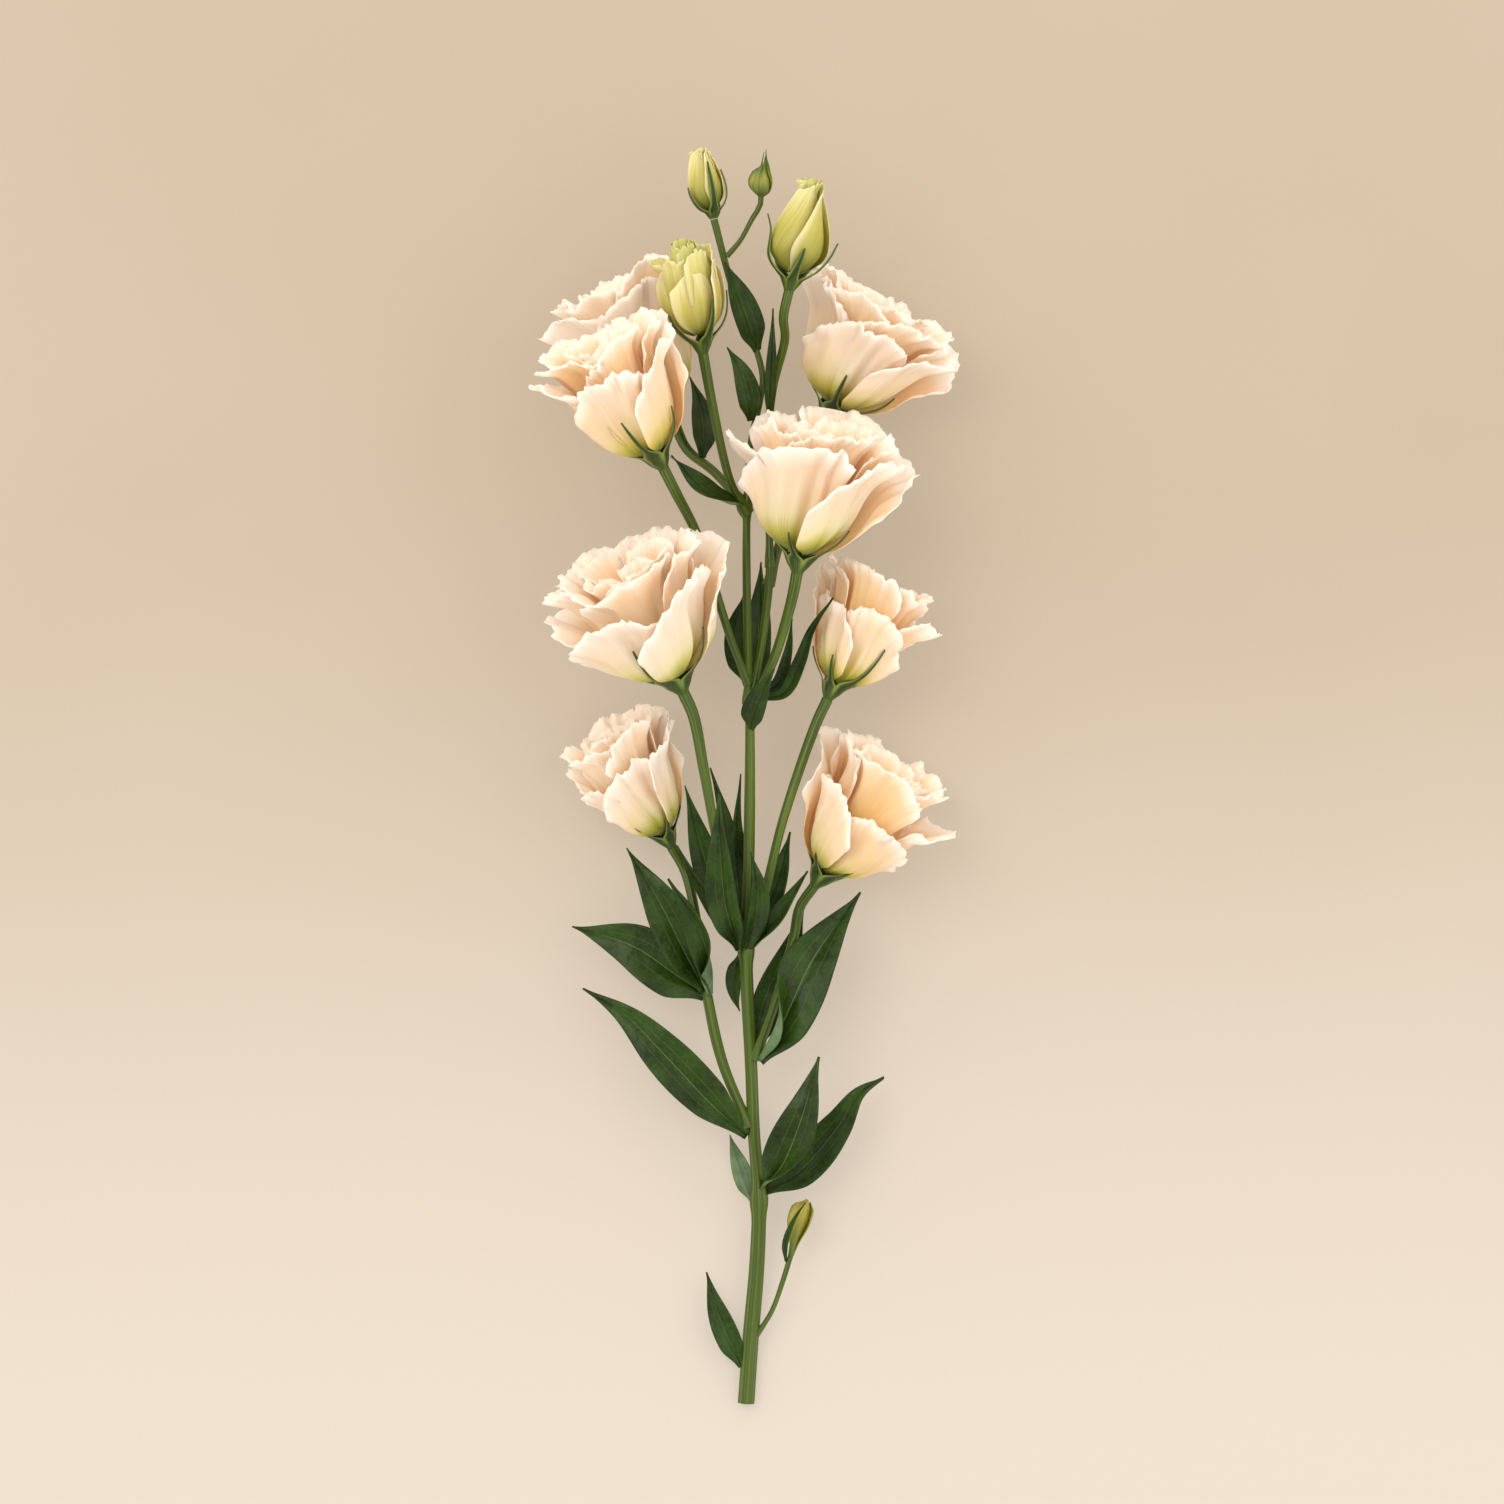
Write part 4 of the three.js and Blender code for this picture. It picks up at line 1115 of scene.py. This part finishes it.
def leafFinish(name, deep, light, rib, roughness):
    skin = Finish(
        name,
        Roughness=roughness,
        Specular_IOR_Level=0.2,
        Subsurface_Weight=0.08,
        Subsurface_Radius=(0.4, 0.8, 0.2),
        Subsurface_Scale=0.001,
    )
    across, lengthwise = skin.splitXyz(skin.coordinates("UV"))[:2]
    offCentre = skin.fromMiddle(across)
    patches = skin.clouds(skin.coordinates("Object"), 90, 4, 0.6)
    grain = skin.clouds(skin.coordinates("Object"), 900, 2)
    swell = skin.clouds(skin.coordinates("Object"), 130, 1)
    flesh = skin.blend(skin.spread(patches, 0.3, 0.7), tone(deep), tone(light))
    flesh = skin.blend(skin.spread(grain, 0.4, 0.8, 0, 0.08), flesh, tone(rib))
    side = skin.number("ABSOLUTE", skin.number("SUBTRACT", offCentre, 0.2))  # from each side vein
    sideRibs = skin.spread(side, 0.0, 0.01, 0.26, 0)
    midrib = skin.spread(offCentre, 0.003, 0.013, 0.62, 0)
    ribs = skin.number("MAXIMUM", midrib, sideRibs)
    ribs = skin.number("MULTIPLY", ribs, skin.spread(lengthwise, 0.6, 1.0, 1, 0.1))
    skin.colour(skin.blend(ribs, flesh, tone(rib)))
    height = skin.number("ADD", grain, skin.number("MULTIPLY", ribs, 2))
    skin.relief(skin.number("ADD", height, skin.number("MULTIPLY", swell, 12)), 0.0002, 0.5)
    return skin.material


def stemFinish():
    skin = Finish(
        "stemGreen", Roughness=0.34, Specular_IOR_Level=0.3, Coat_Weight=0.06, Coat_Roughness=0.2
    )
    around, lengthwise = skin.splitXyz(skin.coordinates("UV"))[:2]
    streaks = skin.fibres(around, lengthwise, (14, 1.5, 0))
    patches = skin.clouds(skin.coordinates("Object"), 40, 3)
    flesh = skin.blend(skin.spread(streaks, 0.3, 0.7), tone("243608"), tone("5C7020"))
    skin.colour(skin.blend(skin.spread(patches, 0.4, 0.75, 0, 0.5), flesh, tone("3A500F")))
    skin.relief(streaks, 0.0003, 0.4)
    return skin.material


def calyxFinish():
    skin = Finish(
        "calyxGreen", Roughness=0.42, Specular_IOR_Level=0.26, Subsurface_Weight=0.06, Subsurface_Scale=0.001
    )
    across, lengthwise = skin.splitXyz(skin.coordinates("UV"))[:2]
    offCentre = skin.fromMiddle(across)
    membrane = skin.ramp(lengthwise, [(0.0, "3C541C"), (0.22, "5C6A1E"), (0.45, "7C8C40"), (1.0, "3A5222")])
    keel = skin.ramp(lengthwise, [(0.0, "36501A"), (0.35, "24390F"), (0.8, "1B3010"), (1.0, "14240C")])
    flesh = skin.blend(skin.spread(offCentre, 0.22, 0.46), keel, membrane)
    fibre = skin.fibres(across, lengthwise, (14, 2, 0))
    skin.colour(skin.blend(skin.spread(fibre, 0.4, 0.8, 0, 0.25), flesh, tone("8FA357")))
    skin.relief(fibre, 0.0003, 0.4)
    return skin.material


# Colour bands run from a petal's foot at 0 to its rim at 1.
bands = {
    "outside": [
        (0.0, "565F0C"), (0.27, "747B14"), (0.41, "AFAB46"),
        (0.56, "DCCFA1"), (0.72, "E6D1B6"), (1.0, "EDDACA"),
    ],
    "outsideWarm": [
        (0.0, "5A5E0C"), (0.27, "7E7C16"), (0.41, "C8AE4E"),
        (0.56, "E2B874"), (0.74, "EABC84"), (1.0, "F0CCA6"),
    ],
    "inside": [
        (0.0, "A0922C"), (0.15, "E0C070"), (0.35, "EBC292"),
        (0.6, "EDC49C"), (0.85, "EFD0B2"), (1.0, "F1DFD0"),
    ],
    "insideWarm": [
        (0.0, "96801E"), (0.15, "E2AC54"), (0.35, "E8A25A"),
        (0.6, "ECAA68"), (0.85, "F0BE8A"), (1.0, "F2D1B0"),
    ],
    "paleBud": [
        (0.0, "4C540C"), (0.2, "727420"), (0.38, "9C9440"),
        (0.6, "B8AC54"), (0.85, "D4C686"), (1.0, "DED49A"),
    ],
    "shoot": [
        (0.0, "4A5E1E"), (0.35, "7A7E2A"), (0.7, "A8983C"),
        (1.0, "8E8A3A"),
    ],
    "youngBud": [
        (0.0, "3C561C"), (0.3, "6A7A2C"), (0.6, "948E3C"),
        (0.8, "6A7A2C"), (1.0, "2C4818"),
    ],
}


def makeFinishes():
    anther = Finish("antherYellow", Roughness=0.7, Base_Color=tone("E2B93C"))
    return {
        "petalOutside": petalFinish("petalOutside", bands["outside"], bands["outsideWarm"]),
        "petalInside": petalFinish("petalInside", bands["inside"], bands["insideWarm"]),
        "bud": budFinish("budFlesh", bands["paleBud"], "A8AA40", "E6DCB4"),
        "shoot": budFinish("shootFlesh", bands["shoot"], "8E8630", "5E6A24"),
        "youngBud": budFinish("youngBudFlesh", bands["youngBud"], "6E7E30", "2A4414"),
        "leafUpper": leafFinish("leafUpper", "162702", "28420A", "728A3E", 0.36),
        "leafUnder": leafFinish("leafUnder", "4A5E3C", "6C8660", "9AAE84", 0.45),
        "stem": stemFinish(),
        "calyx": calyxFinish(),
        "anther": anther.material,
    }


addCamera()
addLight()
addSurface()
print("camera, light and surface ready")

materials = makeFinishes()
dice = random.Random(7)
for name, plan in blooms.items():
    addBloom(name, plan, dice, materials)
    addCalyx(name, "calyx_" + name, bloomCalyx, plan, dice, materials)
    addHeart(name, plan, materials)
print("blooms ready")

for name, plan in buds.items():
    addBud(name, plan, dice, materials)
print("buds ready")

addStems(materials)
for name, plan in leaves.items():
    addLeaf(name, plan, materials)
print("stems and leaves ready")
